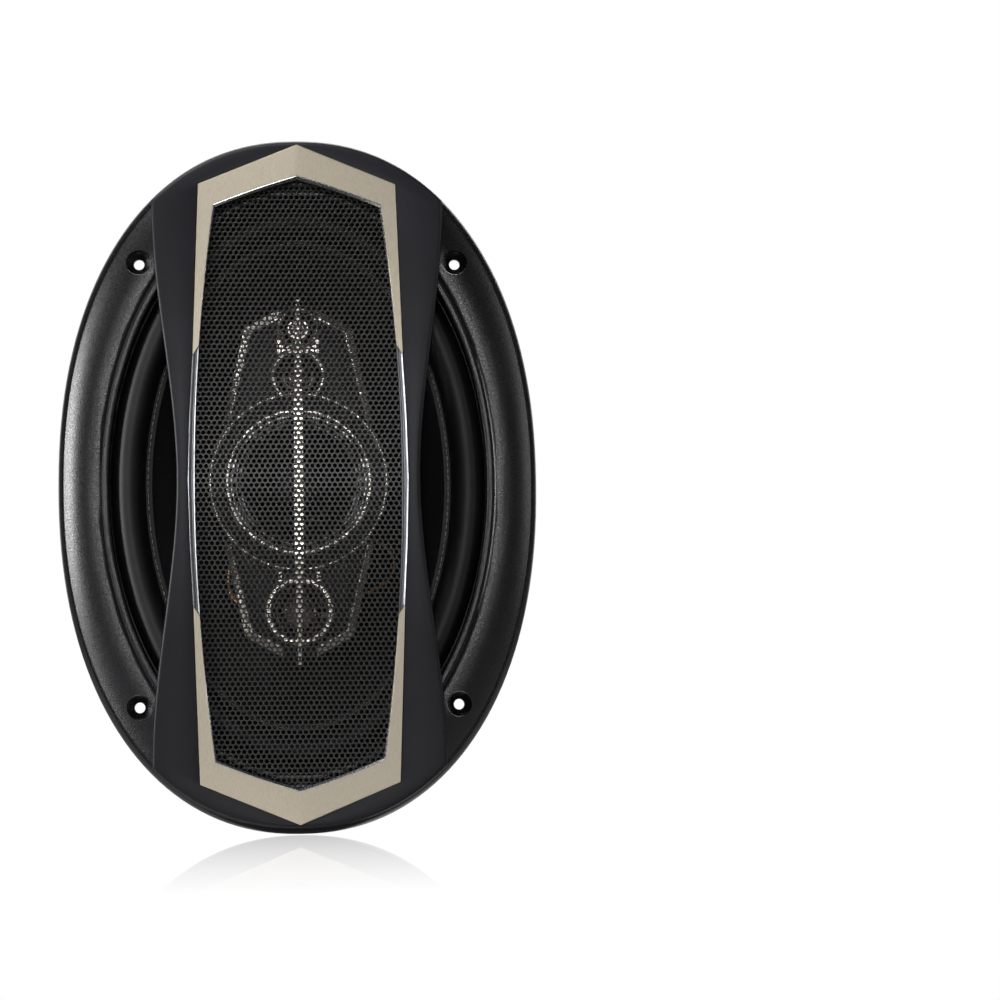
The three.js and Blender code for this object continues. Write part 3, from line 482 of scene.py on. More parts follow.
def braidedLead():  # copper tinsel braided over cotton: brown with bright strands
    stuff = begun("braidedTinselLead", {"Metallic": 0.35})
    strands = bands(stuff, 2.2, "DIAGONAL", Distortion=2.5)
    coloured(stuff, strands, (0.2, "#3d2712"), (0.75, "#a57c4b"))
    glossed(stuff, strands, (0.2, 0.7), (0.8, 0.42))
    bumped(stuff, strands, 0.7, 0.15)
    return stuff.material


mats = {
    # ring: ABS with a fine spark-eroded grain, a broad soft highlight
    "ringAbs": grainedPlastic("mouldedAbsGrained", "#0b0b0d", "#131316", 0.3, 0.5, 0.08),
    # hourglass: ABS under soft-touch paint, bluish black and almost matte
    "softPaint": grainedPlastic("softTouchPaintedAbs", "#101015", "#16161c", 0.4, 0.3, 0.006, 0.28),
    # driver bridge: polypropylene with a leathery grain, dark grey green, its colour set darker than the bare part's
    # as painted shade for the shadow behind the grille mesh
    "bridgePpShadeDarkened": grainedPlastic("mouldedPolypropyleneShadeDarkened", "#121414", "#1d201f", 0.48, 0.8, 0.2),
    # upper tweeter's cup: polished black, its highlight small and clear
    "cupBlack": grainedPlastic("polishedAbs", "#08080a", "#121214", 0.2, 0.8, 0.01),
    # midrange cap: cloth under a tacky dope, dull grey black
    "softCap": grainedPlastic("dopedClothCap", "#1d1e1f", "#2b2c2d", 0.62, 0.35, 0.05),
    # basket: powder coat with a slight orange peel, satin black
    "powder": grainedPlastic("blackPowderCoat", "#131416", "#202124", 0.42, 1.1, 0.06),
    # coil former: film, smooth and amber
    "kapton": grainedPlastic("amberPolyimideFilm", "#8a4c12", "#b8742a", 0.3, 2.5, 0.01),
    # capacitors: heat-shrunk sleeve, smooth glossy navy
    "sleeve": grainedPlastic("shrunkPvcSleeve", "#14294f", "#1f3c70", 0.25, 3.0, 0.02),
    # gasket: closed-cell foam, dead matte black
    "foam": grainedPlastic("evaFoamGasket", "#141415", "#232325", 0.85, 0.35, 0.15, 0.3),
    # dots of glue over the coil's leads: pale olive, slightly shiny
    "tab": grainedPlastic("paleGlueDot", "#8c8f6a", "#c4c8a8", 0.4, 0.6, 0.05),
    # thin line inside each chevron: bright, nearly a mirror
    "chrome": satinMetal("brightChromeEdge", "#f0f0f0", "#d5d7d9", 0.24),
    # spine, rails and bezels: warm satin silver
    "silver": satinMetal("satinChromePlatedAbs", "#eae2da", "#cfc6bc", 0.27, 0.35),
    # waist blades: smoked metal, grey, with long reflections along the blade
    "blade": satinMetal("smokedMetallisedAbs", "#6c6e71", "#4f5154", 0.33, 0.5, (1, 1, 0.15)),
    # domes: foil, pinkish grey and shiny
    "titanium": satinMetal("titaniumFoilDome", "#b5a9a6", "#7e7472", 0.2, 0.9),
    # cups of the other two tweeters: smoked metal, dark and reflective
    "cupDark": satinMetal("smokedMetallisedCup", "#5d5759", "#2a2729", 0.3, 0.8),
    # terminals: tinned brass, pale silver with faint rolling lines
    "tin": satinMetal("tinnedBrass", "#d9d7d0", "#a3a09a", 0.3, 0.4, (1, 0.2, 1)),
    "glossPp": glossBlack(),
    "rubber": butylRubber(),
    "pulp": conePulp(),
    "thread": cottonThread(),
    "champagne": champagneFoil(),
    "meshSteel": meshSteel(),
    "zinc": turnedSteel(),
    "ferrite": sinteredFerrite(),
    "board": phenolicBoard(),
    "copper": copperWinding(),
    "spider": dippedCloth(),
    "braid": braidedLead(),
}
print("materials:", len(mats))

# ---------- studio ----------
studio = {"distance": 1.05, "viewWidth": 0.3765, "aim": (0.0769, -0.0061), "eye": -0.09, "roll": -0.7,
          "floorSize": 3.0, "backdropAt": 2.0, "backdropSize": 3.2, "shine": 0.42, "shineReach": 0.36,
          "bounce": 0.15, "around": 0.05}
lamps = [  # name, place, size and power
    ("frontPanel", (-0.02, -1.5, 0.2), (0.3, 0.2), 3.4),
    ("topPanel", (-0.4, -0.42, 1.0), (0.9, 0.5), 9),
    ("leftStrip", (-1.15, -0.72, 0.0), (0.24, 0.9), 29),
    ("rightStrip", (1.15, -0.6, 0.35), (0.2, 1.0), 3.2),
    ("backPanel", (0.3, 1.3, 0.9), (1.2, 0.8), 6),
]


def glowing(name, otherwise):  # an even white for the eye, and a dimmer light for everything else
    material = bpy.data.materials.new(name)
    material.use_nodes = True
    tree = material.node_tree
    tree.nodes.clear()
    path = add(tree, "ShaderNodeLightPath").outputs["Is Camera Ray"]
    strength = add(tree, "ShaderNodeMapRange", {"Value": path, "To Min": otherwise, "To Max": 1.0})
    glow = add(tree, "ShaderNodeEmission", {"Strength": strength.outputs["Result"]})
    output = add(tree, "ShaderNodeOutputMaterial", {"Surface": glow.outputs["Emission"]})
    return material, tree, glow, output


def stageSheet(name, half, place, material):  # a square sheet of the studio
    sheet = bmesh.new()
    bmesh.ops.create_grid(sheet, x_segments=1, y_segments=1, size=half, matrix=place)
    made = toObject(sheet, name)
    made.data.materials.append(material)


def makeFloor():  # pale glossy board whose reflection dies away towards the viewer
    material, tree, glow, output = glowing("paleGlossBoard", studio["bounce"])
    where = add(tree, "ShaderNodeTexCoord").outputs["Object"]
    flat = add(tree, "ShaderNodeVectorMath", {0: where, 1: (0.6, 1.0, 0.0)}, operation="MULTIPLY").outputs["Vector"]
    away = add(tree, "ShaderNodeVectorMath", {0: flat}, operation="LENGTH").outputs["Value"]
    fade = add(tree, "ShaderNodeMapRange", {"Value": away, "From Max": studio["shineReach"],
                                            "To Min": studio["shine"], "To Max": 0.0})
    gloss = add(tree, "ShaderNodeBsdfGlossy", {"Color": (1, 1, 1, 1), "Roughness": 0.0})
    both = add(tree, "ShaderNodeMixShader", {0: fade.outputs["Result"], 1: glow.outputs["Emission"],
                                             2: gloss.outputs["BSDF"]})
    tree.links.new(both.outputs["Shader"], output.inputs["Surface"])
    below = Matrix.Translation((0, 0, cadBox[0][2] - 0.0003))
    stageSheet("floor", studio["floorSize"], below, material)


def makeBackdrop():  # lit paper behind the object, and a world, both as white as the floor
    upright = Matrix.Translation((0, studio["backdropAt"], 0)) @ standUp
    stageSheet("backdrop", studio["backdropSize"] / 2, upright, glowing("litPaper", 1.0)[0])
    world = bpy.data.worlds.new("studioWorld")
    world.use_nodes = True
    tree = world.node_tree
    path = add(tree, "ShaderNodeLightPath")
    direct = add(tree, "ShaderNodeMath", {0: path.outputs["Is Camera Ray"], 1: path.outputs["Is Singular Ray"]},
                 operation="MAXIMUM").outputs[0]  # the eye, and the floor's mirror, see white all round
    strength = add(tree, "ShaderNodeMapRange", {"Value": direct, "To Min": studio["around"], "To Max": 1.0})
    background = tree.nodes["Background"]
    background.inputs["Color"].default_value = (1, 1, 1, 1)
    tree.links.new(strength.outputs["Result"], background.inputs["Strength"])
    bpy.context.scene.world = world


def makeLamps():
    for name, place, size, power in lamps:
        light = bpy.data.lights.new(name, "AREA")
        light.shape = "RECTANGLE"
        light.size, light.size_y = size
        light.energy = power
        lamp = bpy.data.objects.new(name, light)
        lamp.location = place
        lamp.rotation_euler = (-Vector(place)).to_track_quat("-Z", "Y").to_euler()
        bpy.context.collection.objects.link(lamp)


def makeCamera():
    data = bpy.data.cameras.new("camera")
    data.lens = 36 * studio["distance"] / studio["viewWidth"]
    data.sensor_width = 36
    data.clip_end = 20
    camera = bpy.data.objects.new("camera", data)
    aim = Vector((studio["aim"][0], 0, studio["aim"][1]))
    camera.location = Vector((0, ringLow.y * mm - studio["distance"], studio["eye"]))
    look = (aim - camera.location).to_track_quat("-Z", "Y").to_matrix()
    camera.rotation_euler = (look @ Matrix.Rotation(radians(studio["roll"]), 3, "Z")).to_euler()
    bpy.context.collection.objects.link(camera)
    bpy.context.scene.camera = camera
    bpy.context.scene.view_settings.view_transform = "Standard"


makeCamera()
makeFloor()
makeBackdrop()
makeLamps()
print("studio ready")

# ---------- woofer ----------
woofer = {"neck": 16.7, "wall": 0.9, "curve": 0.8, "rubber": 0.9, "seatWidth": 2.4, "stitchGap": 2.5,
          "stitchLength": 1.8, "stitchWidth": 0.22, "formerInner": 15.75, "coilInner": 16.25,
          "spiderInner": 16.5, "spiderWaves": 6, "spiderDepth": 2.1, "spiderCloth": 0.45}


def coneLengthAt(r):
    share = (coneHigh.x - r) / (coneHigh.x - woofer["neck"])
    return coneHigh.z - (coneHigh.z - woofer["neck"]) * share


def seatLength(r):
    return r + surroundHigh.z - surroundHigh.x


def makeCone():
    depth = coneHigh.y - woofer["wall"] - coneLow.y
    steps = 24
    front = []
    for i in range(steps + 1):
        share = i / steps
        r = coneHigh.x + (woofer["neck"] - coneHigh.x) * share
        front.append((r, coneLow.y + depth * share + woofer["curve"] * sin(pi * share)))
    rear = [(r, y + woofer["wall"]) for r, y in reversed(front)]
    bm = toOval(spun(front + rear), coneLengthAt)
    finished(bm, "wooferCone", "pulp", "cone", "woofer_cone", angle=50)


def rolling(bm, inner, outer):  # keeps on each point its share of the cone's movement
    layer = bm.verts.layers.float.new("rollShare")
    for v in bm.verts:
        v[layer] = smoothStep(min(1.0, max(0.0, (outer - hypot(v.co.x, v.co.z)) / (outer - inner))))


def bendWith(piece):  # bakes a loose piece's placement into its mesh, reads the shares and then takes them off it
    shares = [0.0] * len(piece.data.vertices)
    piece.data.attributes["rollShare"].data.foreach_get("value", shares)
    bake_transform(piece)
    piece.data.attributes.remove(piece.data.attributes["rollShare"])


def makeSurround():
    wall, seat = woofer["rubber"], woofer["seatWidth"]
    inner, outer = coneHigh.x, surroundHigh.x - seat
    middle, span = (inner + outer) / 2, (outer - inner) / 2
    back = surroundHigh.y
    front = back - 1.0
    height = front - surroundLow.y
    outside = arc((middle, front), span, 0, -180, 28, height / span)
    inside = arc((middle, front + wall), span - wall, -180, 0, 28, (height - 0.4) / span)
    profile = [(surroundHigh.x, back), (surroundHigh.x, front)] + outside
    profile += [(inner - 0.6, front + 0.1), (inner - seat, front + 0.35), (inner - seat, back)] + inside
    bm = spun(profile)
    rolling(bm, inner, outer)
    toOval(bm, seatLength)
    piece = finished(bm, "rubberSurround", "rubber", "surround", None, angle=50)
    bendWith(piece)


def makeStitching():
    high = cad("edge_stitching")[1]
    halfWidth, halfLength = high.x - 0.35, high.z - 0.35
    thread = woofer["stitchWidth"]
    steps = 1440
    points = [(halfWidth * cos(2 * pi * i / steps), halfLength * sin(2 * pi * i / steps)) for i in range(steps + 1)]
    travelled, due, number = 0.0, 0.0, 0
    bm = bmesh.new()
    for (x0, z0), (x1, z1) in zip(points, points[1:]):
        travelled += hypot(x1 - x0, z1 - z0)
        if travelled < due:
            continue
        turn = atan2(z1 - z0, x1 - x0) + radians(4 * sin(number * 2.4))  # no two stitches lie quite alike
        length = woofer["stitchLength"] * (1 + 0.12 * sin(number * 1.7))
        boxed((x0, high.y - 0.16, z0), (length, thread, thread), (0, -turn, 0), bm)
        due += woofer["stitchGap"]
        number += 1
    bevelEdges(bm, bm.edges[:], 0.08, 1)
    finished(bm, "edgeStitching", "thread", "edge_stitching", "woofer_cone")


def makeCoil():
    low, high = cad("voice_coil_former")
    former = tube(woofer["formerInner"], high.x, low.y, high.y, middling)
    finished(former, "voiceCoilFormer", "kapton", "voice_coil_former", "woofer_cone")
    low, high = cad("voice_coil")
    coil = tube(woofer["coilInner"], high.x, low.y, high.y, middling)
    finished(coil, "voiceCoil", "copper", "voice_coil", "woofer_cone", 0.15)


def makeSpider():
    high = cad("spider")[1]
    inner, outer, waves = woofer["spiderInner"], high.x, woofer["spiderWaves"]
    steps = waves * 8
    front = []
    for i in range(steps + 1):
        share = i / steps
        dip = (1 - cos(share * waves * 2 * pi)) / 2 * min(1, 4 * share + 0.4, 4 * (1 - share) + 0.4)
        front.append((inner + (outer - inner) * share, high.y - 0.5 - woofer["spiderDepth"] * dip))
    rear = [(r, y + woofer["spiderCloth"]) for r, y in reversed(front)]
    bm = spun(front + rear, middling)
    rolling(bm, inner + 1, outer - 1.5)
    piece = finished(bm, "wooferSpider", "spider", "spider", None, angle=60)
    bendWith(piece)


makeCone()
makeSurround()
makeStitching()
makeCoil()
makeSpider()
print("woofer done")

# ---------- basket and motor ----------
basketDims = {"earRadius": 20.5, "earSetback": (9.2, 6.8), "endArc": 66, "sideArc": 81, "seatGap": 0.8,
              "slot": (8.2, 5.2), "slotTurn": 42, "recess": 7.0, "rim": 1.3, "windowFront": 15.5,
              "windowRear": 34.5, "spokes": (0, 52, 90, 128, 180, 232, 270, 308), "spokeHalf": 5, "padHalf": 9,
              "shelf": 47.0, "foot": 46.0}
through = 9  # half the length of a cutter that goes right through the flange


def flangePlate():
    d = basketDims
    bm = bmesh.new()
    for (sx, sz), (screwX, screwZ) in zip(corners, screws):
        earX, earZ = screwX - sx * d["earSetback"][0], screwZ - sz * d["earSetback"][1]
        circles = [(d["earRadius"], earX, earZ, 96), (d["endArc"], 0, sz * (basketHigh.z - d["endArc"]), 200),
                   (d["sideArc"], sx * (basketHigh.x - d["sideArc"]), 0, 200)]
        for radius, x, z, count in circles:
            for y in (basketLow.y, 0.0):
                bmesh.ops.create_circle(bm, radius=radius, segments=count,
                                        matrix=Matrix.Translation((x, y, z)) @ standUp)
    hull = bmesh.ops.convex_hull(bm, input=bm.verts)
    inside = [g for g in hull["geom_interior"] + hull["geom_unused"] if isinstance(g, bmesh.types.BMVert)]
    bmesh.ops.delete(bm, geom=list(set(inside)), context="VERTS")
    bmesh.ops.dissolve_limit(bm, angle_limit=radians(0.3), verts=bm.verts, edges=bm.edges)
    face = max((f for f in bm.faces if f.normal.y < -0.99), key=lambda f: f.calc_area())
    bmesh.ops.inset_region(bm, faces=[face], thickness=d["rim"], depth=0, use_even_offset=True)
    bmesh.ops.inset_region(bm, faces=[face], thickness=0.25, depth=-0.45, use_even_offset=True)
    return bm


def screwSlot(side, at):  # a slot with round ends, turned towards its corner
    length, width = basketDims["slot"]
    turn = radians(basketDims["slotTurn"]) * side
    outline = []
    for end in (1, -1):
        for i in range(13):
            t = radians(-90 + 15 * i) + (0 if end > 0 else pi)
            outline.append((end * (length - width) / 2 + width / 2 * cos(t), width / 2 * sin(t)))
    turned = [(x * cos(turn) - z * sin(turn), x * sin(turn) + z * cos(turn)) for x, z in outline]
    return prism([(x + at[0], z + at[1]) for x, z in turned], -through, through)


def bowlLength(r):
    return between(r, [(0, 0), (47, 47), (49, 51), (52, 55), (69.5, 105.3), (90, 125.8)])


def windowCutters():
    d = basketDims
    cutters = []
    for start, end in zip(d["spokes"], d["spokes"][1:] + (360,)):
        outline = []
        for angle, side, reaches in ((start, 1, (40, 130)), (end, -1, (130, 40))):
            half = d["padHalf"] if angle % 180 == 0 else d["spokeHalf"]
            t = radians(angle)
            outline += [(reach * cos(t) - side * half * sin(t), reach * sin(t) + side * half * cos(t))
                        for reach in reaches]
        cutter = prism(outline, d["windowFront"], d["windowRear"])
        cutters.append(bevelEdges(cutter, edgesAlong(cutter, 1), 3.0, 4))
    return joinedMesh(*cutters)


def makeBasket():
    d = basketDims
    shelf, foot = d["shelf"], d["foot"]
    seat = surroundHigh.x + d["seatGap"]
    upper = surroundHigh.x - 2.4 - 1.6
    bowl = spun([(seat + 1.2, -2.6), (upper, -2.6), (upper, 12.5), (upper - 1.5, 13.6), (shelf + 2, 37),
                 (shelf, 38), (40, 38), (40, 52.5), (24, 52.5), (24, basketHigh.y), (foot - 1, basketHigh.y),
                 (foot, basketHigh.y - 1), (foot, 44), (shelf + 5, 38), (upper + 1.8, 14.6), (upper + 3.4, 12.6),
                 (upper + 3.4, -0.6), (seat + 1.2, -0.6)])
    bowl = carved(toOval(bowl, bowlLength), [windowCutters()])
    cutters = [toOval(tube(0, seat, -through, through), seatLength)]
    for (sx, sz), at in zip(corners, screws):
        cutters += [screwSlot(sx * sz, at), tube(0, d["recess"], -through, basketLow.y + 1, small, at)]
    flange = carved(flangePlate(), cutters)
    finished(flange, "basketFlange", "powder", "basket", soft=0.3)
    face = cad("terminal_board")[0].x - 0.3
    pads = [boxed((sx * (face + 49) / 2, 32, 0), (face - 49, 18, 18)) for sx in (-1, 1)]
    finished(joinedMesh(bowl, *pads), "basketBowl", "powder", "basket", soft=0.35)


def makeMotor():
    low, high = cad("surround_gasket")
    gasket = toOval(tube(high.x - 1.9, high.x, low.y, high.y), seatLength)
    finished(gasket, "surroundGasket", "foam", "surround_gasket", soft=0.2)
    low, high = cad("top_plate")
    finished(tube(17.4, high.z, low.y, high.y), "topPlate", "zinc", "top_plate", soft=0.5)
    low, high = cad("magnet")
    finished(tube(23, high.z, low.y, high.y), "ferriteMagnet", "ferrite", "magnet", soft=0.7)
    low, high = cad("t_yoke")
    rim, pole, recess, bore = high.z, 15.2, 6.8, 3.2
    yoke = spun([(bore, low.y), (pole, low.y), (pole, high.y - 6), (rim, high.y - 6), (rim, high.y - 0.9),
                 (rim - 0.9, high.y), (20.6, high.y), (20.2, high.y - 0.4), (13.4, high.y - 0.4), (13, high.y),
                 (recess, high.y), (recess, high.y - 3), (bore, high.y - 3)])
    finished(yoke, "yoke", "zinc", "t_yoke", soft=0.25)
    low, high = cad("post_bolt")
    shank, top = 2.9, high.y
    bolt = spun([(0, low.y), (shank, low.y), (shank, top - 2.4), (5.8, top - 2.4), (5.8, top - 0.7), (5.2, top),
                 (0, top)], small)
    socket = bmesh.new()
    hexagon = Matrix.Translation((0, top, 0)) @ Euler((-pi / 2, 0, 0)).to_matrix().to_4x4()
    bmesh.ops.create_cone(socket, cap_ends=True, segments=6, radius1=2.6, radius2=2.6, depth=3.2, matrix=hexagon)
    finished(carved(bolt, [socket]), "postBolt", "zinc", "post_bolt", soft=0.2)


def tubeAlong(points, radius, name, stands, body=None):  # a lead along a smooth curve
    curve = bpy.data.curves.new(name, "CURVE")
    curve.dimensions = "3D"
    curve.bevel_depth = radius * mm
    curve.bevel_resolution = 3
    curve.resolution_u = 6
    curve.use_fill_caps = True
    line = curve.splines.new("BEZIER")
    line.bezier_points.add(len(points) - 1)
    for dot, point in zip(line.bezier_points, points):
        dot.co = Vector(point) * mm
        dot.handle_left_type = dot.handle_right_type = "AUTO"
    carrier = toObject(curve, name + "Line")
    mesh = evaluatedMesh(carrier)
    bpy.data.objects.remove(carrier)
    return placed(toObject(mesh, name), "braid", body, stands)


def makeTerminals():
    boardLow, boardHigh = cad("terminal_board")
    board = boxed((boardLow + boardHigh) / 2, boardHigh - boardLow)
    bevelEdges(board, edgesAlong(board, 0), 2.0, 4)
    finished(board, "terminalBoard", "board", "terminal_board", soft=0.15)
    for name in ("positive", "negative"):
        low, high = cad("terminal_" + name)
        half, z = (high.z - low.z) / 2, (high.z + low.z) / 2
        outline = [(low.y, z - half), (high.y - 2.4, z - half), (high.y, z - half + 1.3),
                   (high.y, z + half - 1.3), (high.y - 2.4, z + half), (low.y, z + half)]
        tab = swapped(prism(outline, low.x, high.x))
        hole = swapped(tube(0, 0.95, low.x - 2, low.x + 2, 24, (high.y - 3.6, z)))
        finished(carved(tab, [hole]), "terminal" + name.capitalize(), "tin", "terminal_" + name,
                 soft=0.1)
    for name in ("midrange", "tweeter"):
        low, high = cad("capacitor_" + name)
        r = (high.z - low.z) / 2
        can = spun([(0, low.y + 0.5), (r - 1.2, low.y + 0.5), (r - 0.9, low.y), (r - 0.4, low.y + 0.15),
                    (r, low.y + 0.8), (r, low.y + 1.6), (r - 0.5, low.y + 2.1), (r, low.y + 2.6),
                    (r, high.y - 0.8), (r - 0.4, high.y - 0.15), (r - 0.9, high.y), (r - 1.2, high.y - 0.3),
                    (0, high.y - 0.3)], small, ((low.x + high.x) / 2, (low.z + high.z) / 2))
        finished(can, name + "Capacitor", "sleeve", "capacitor_" + name, angle=60)
    front, face = boardLow.y, boardLow.x
    for name, side in (("positive", 1), ("negative", -1)):
        route = [(face - 0.5, front + 3, side * 12.5), (57, front + 2.4, side * 12.4), (49, front + 1.6, side * 11.8),
                 (41, front + 0.2, side * 11), (34, front - 2, side * 9.8), (29.6, front - 3.6, side * 8.8)]
        lead = tubeAlong(route, 0.8, name + "TinselLead", "tinsel_lead_" + name)
        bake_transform(lead)


makeBasket()
makeMotor()
makeTerminals()
print("basket, motor and terminals done")

# ---------- driver bridge ----------
bridge = {"outline": [(0, 67.6), (6.4, 65.7), (20.3, 58.2), (28.2, 22)], "hub": 33.0, "midOpening": 26.0,
          "bezelWidth": 1.4, "ringRadius": 33.6, "outerTrim": 1.1, "ringRise": 3.2, "dimples": 24,
          "dimpleRadius": 1.25, "dimpleDepth": 0.4, "postX": 7.2, "postWidth": 1.1,
          "railInner": {"upper": [(7.7, 60.9), (17.4, 56.2), (25.4, 23.6)],
                        "lower": [(6.4, 61.6), (17.4, 56.2), (25.4, 23.6)]},
          "spine": [(0, 3.7), (29, 3.7), (40, 2.8), (58, 2.0), (68.7, 1.4)], "spineFlat": 0.86}
bridgeFront = bodyLow.y
trimBack = bridgeFront - 0.3
tweeterDims = {
    "top": {"bezel": 7.9, "opening": 6.8},
    "upper": {"bezel": 10.3, "opening": 8.9},
    "lower": {"bezel": 13.0, "opening": 10.7},
}


def tweeterCentre(name):
    low, high = cad("tweeter_cup_" + name)
    return (low.z + high.z) / 2


def makeBridgeBody():
    d = bridge
    rear = bodyHigh.y
    right = d["outline"] + [(x, -z) for x, z in reversed(d["outline"])]
    outline = right + [(-x, z) for x, z in reversed(right) if abs(x) > 1e-6]
    plate = prism(outline, bridgeFront, rear)
    front = [e for e in plate.edges if e.calc_face_angle(0) > radians(35)
             and all(v.co.y < bridgeFront + 0.01 for v in e.verts)]
    bevelEdges(plate, front, 0.9, 3)
    hub = spun([(0, bridgeFront), (d["hub"] - 0.8, bridgeFront), (d["hub"], bridgeFront + 0.8), (d["hub"], rear),
                (0, rear)])
    bores = [tube(0, d["midOpening"] + d["bezelWidth"] + 0.3, -40, 10)]
    for name in tweeterDims:
        low, high = cad("tweeter_cup_" + name)
        bores.append(tube(0, (high.x - low.x) / 2 + 0.25, bridgeFront - 2, high.y + 0.6, small,
                          (0, tweeterCentre(name))))
    body = carved(carved(plate, [hub], "UNION"), bores)
    finished(body, "bridgeBody", "bridgePpShadeDarkened", "bridge_body", soft=0.25)
    low, high = cad("bridge_rear_cup")
    wall = 1.8
    cup = spun([(0, high.y), (19, high.y), (20, high.y - 0.6), (high.x - 0.6, low.y + 6.6),
                (high.x, low.y + 5.8), (high.x, low.y), (high.x - wall, low.y), (high.x - wall, low.y + 5.6),
                (18.4, high.y - wall), (0, high.y - wall)])
    finished(cup, "bridgeRearCup", "bridgePpShadeDarkened", "bridge_rear_cup", soft=0.3)
    low, high = cad("bridge_post")
    post = spun([(0, low.y), (6.5, low.y), (6.5, high.y - 0.6), (5.9, high.y), (0, high.y)], small)
    finished(post, "bridgePost", "bridgePpShadeDarkened", "bridge_post", soft=0.2)


def shortened(points):  # draws a line's last point back along it until it clears the midrange ring
    (x0, z0), (x1, z1) = points[-2:]
    while hypot(x1, z1) < bridge["ringRadius"] + 0.4:
        x1, z1 = x1 + (x0 - x1) * 0.02, z1 + (z0 - z1) * 0.02
    return points[:-1] + [(x1, z1)]


def makeRails():
    top = trimLow.y
    outer = shortened(bridge["outline"][1:])
    section = [(0.0, trimBack), (0.0, top + 0.15), (0.1, top), (0.24, top), (0.34, top + 0.35), (1.0, top + 1.25),
               (1.0, trimBack)]
    for side, sx in (("right", 1), ("left", -1)):
        for level, sz in (("upper", 1), ("lower", -1)):
            inner = shortened(bridge["railInner"][level])
            rows = [[((xi + (xo - xi) * share) * sx, y, (zi + (zo - zi) * share) * sz)
                     for (xi, zi), (xo, zo) in zip(inner, outer)] for share, y in section]
            finished(capped(lofted(rows, False, True)), level.capitalize() + side.capitalize() + "Rail", "silver",
                     f"side_rail_{level}_{side}", soft=0.12, angle=14)


def trimRing(inner, outer, front, inward, outward, steps=wide, at=(0, 0)):  # each edge is cut back (across, deep)
    return spun([(inner, trimBack), (inner, front + inward[1]), (inner + inward[0], front),
                 (outer - outward[0], front), (outer, front + outward[1]), (outer, trimBack)], steps, at)


def makeSpine():
    d = bridge
    top, back = trimLow.y, trimBack
    clear = d["ringRadius"] + 0.3
    rows = []
    for i in range(-40, 41):
        z = i * spineHigh.z / 40
        half = between(abs(z), d["spine"]) / 2
        flat = half * d["spineFlat"]
        rise = min(1.0, max(0.0, (abs(z) - 28) / (spineHigh.z - 28)))
        front = spineLow.y + rise * (top - 0.6 - spineLow.y)
        foot = back - d["ringRise"] - 0.3 if abs(z) < clear else back
        rows.append([(-half, foot, z), (-half, front + 0.25, z), (-flat, front, z), (flat, front, z),
                     (half, front + 0.25, z), (half, foot, z)])
    pieces = [capped(lofted(rows, True))]
    for name, t in tweeterDims.items():
        ring = trimRing(t["opening"], t["bezel"], top, (0.35, 0.5), (0.7, 0.6), middling, (0, tweeterCentre(name)))
        pieces.append(carved(ring, [tube(0, clear, -40, 0)]) if name == "upper" else ring)
    upperZ, topZ, lowerZ = tweeterCentre("upper"), tweeterCentre("top"), tweeterCentre("lower")
    gapZ = (upperZ + tweeterDims["upper"]["bezel"] + topZ - tweeterDims["top"]["bezel"]) / 2
    for sx in (-1, 1):  # ties between the bezels, and the small crossed struts in the gap between them
        for z0, z1 in ((upperZ + 8.2, topZ - 4.2), (lowerZ + 11.2, -clear)):
            pieces.append(boxed((sx * d["postX"], (back + top + 0.3) / 2, (z0 + z1) / 2),
                                (d["postWidth"], back - top - 0.3, z1 - z0)))
        for turn in (1, -1):
            pieces.append(boxed((sx * 4.6, (back + top + 0.6) / 2, gapZ), (5.6, back - top - 0.6, 0.8),
                                (0, radians(28 * turn), 0)))
    for piece in pieces:
        bmesh.ops.recalc_face_normals(piece, faces=piece.faces)
    finished(joinedMesh(*pieces), "spineTrim", "silver", "spine_trim", soft=0.12, angle=25)


def makeMidrangeFront():
    d = bridge
    outer = d["ringRadius"]
    trim = trimRing(outer - d["outerTrim"], outer, cad("midrange_outer_trim")[0].y, (0.3, 0.3), (0.4, 0.5))
    finished(trim, "midrangeOuterTrim", "silver", "midrange_outer_trim", soft=0.1, angle=25)
    inner = d["midOpening"]
    bezel = trimRing(inner, inner + d["bezelWidth"], cad("midrange_bezel")[0].y, (0.3, 0.3), (0.3, 0.3))
    finished(bezel, "midrangeBezel", "silver", "midrange_bezel", soft=0.1, angle=25)
    front = cad("midrange_ring")[0].y + 0.35
    inner, outer = d["midOpening"] + d["bezelWidth"] + 0.15, d["ringRadius"] - d["outerTrim"] - 0.15
    middle, pitch, rows = (inner + outer) / 2, 360 / d["dimples"], 8
    across = [(inner + (outer - inner) * i / rows, front) for i in range(rows + 1)]
    ring = spun([(inner, trimBack)] + across + [(outer, trimBack)], d["dimples"] * 12)
    for v in ring.verts:  # a row of shallow round dimples
        turn = degrees(atan2(v.co.z, v.co.x)) / pitch
        offset = (turn - round(turn)) * radians(pitch) * middle
        distance = hypot(offset, hypot(v.co.x, v.co.z) - middle) / d["dimpleRadius"]
        if distance < 1 and v.co.y < front + 0.05:
            v.co.y += d["dimpleDepth"] * (1 - distance ** 2)
    # the ring takes the bridge's colour, darkened as painted shade for the shadow behind the mesh
    finished(ring, "midrangeRing", "bridgePpShadeDarkened", "midrange_ring", angle=50)


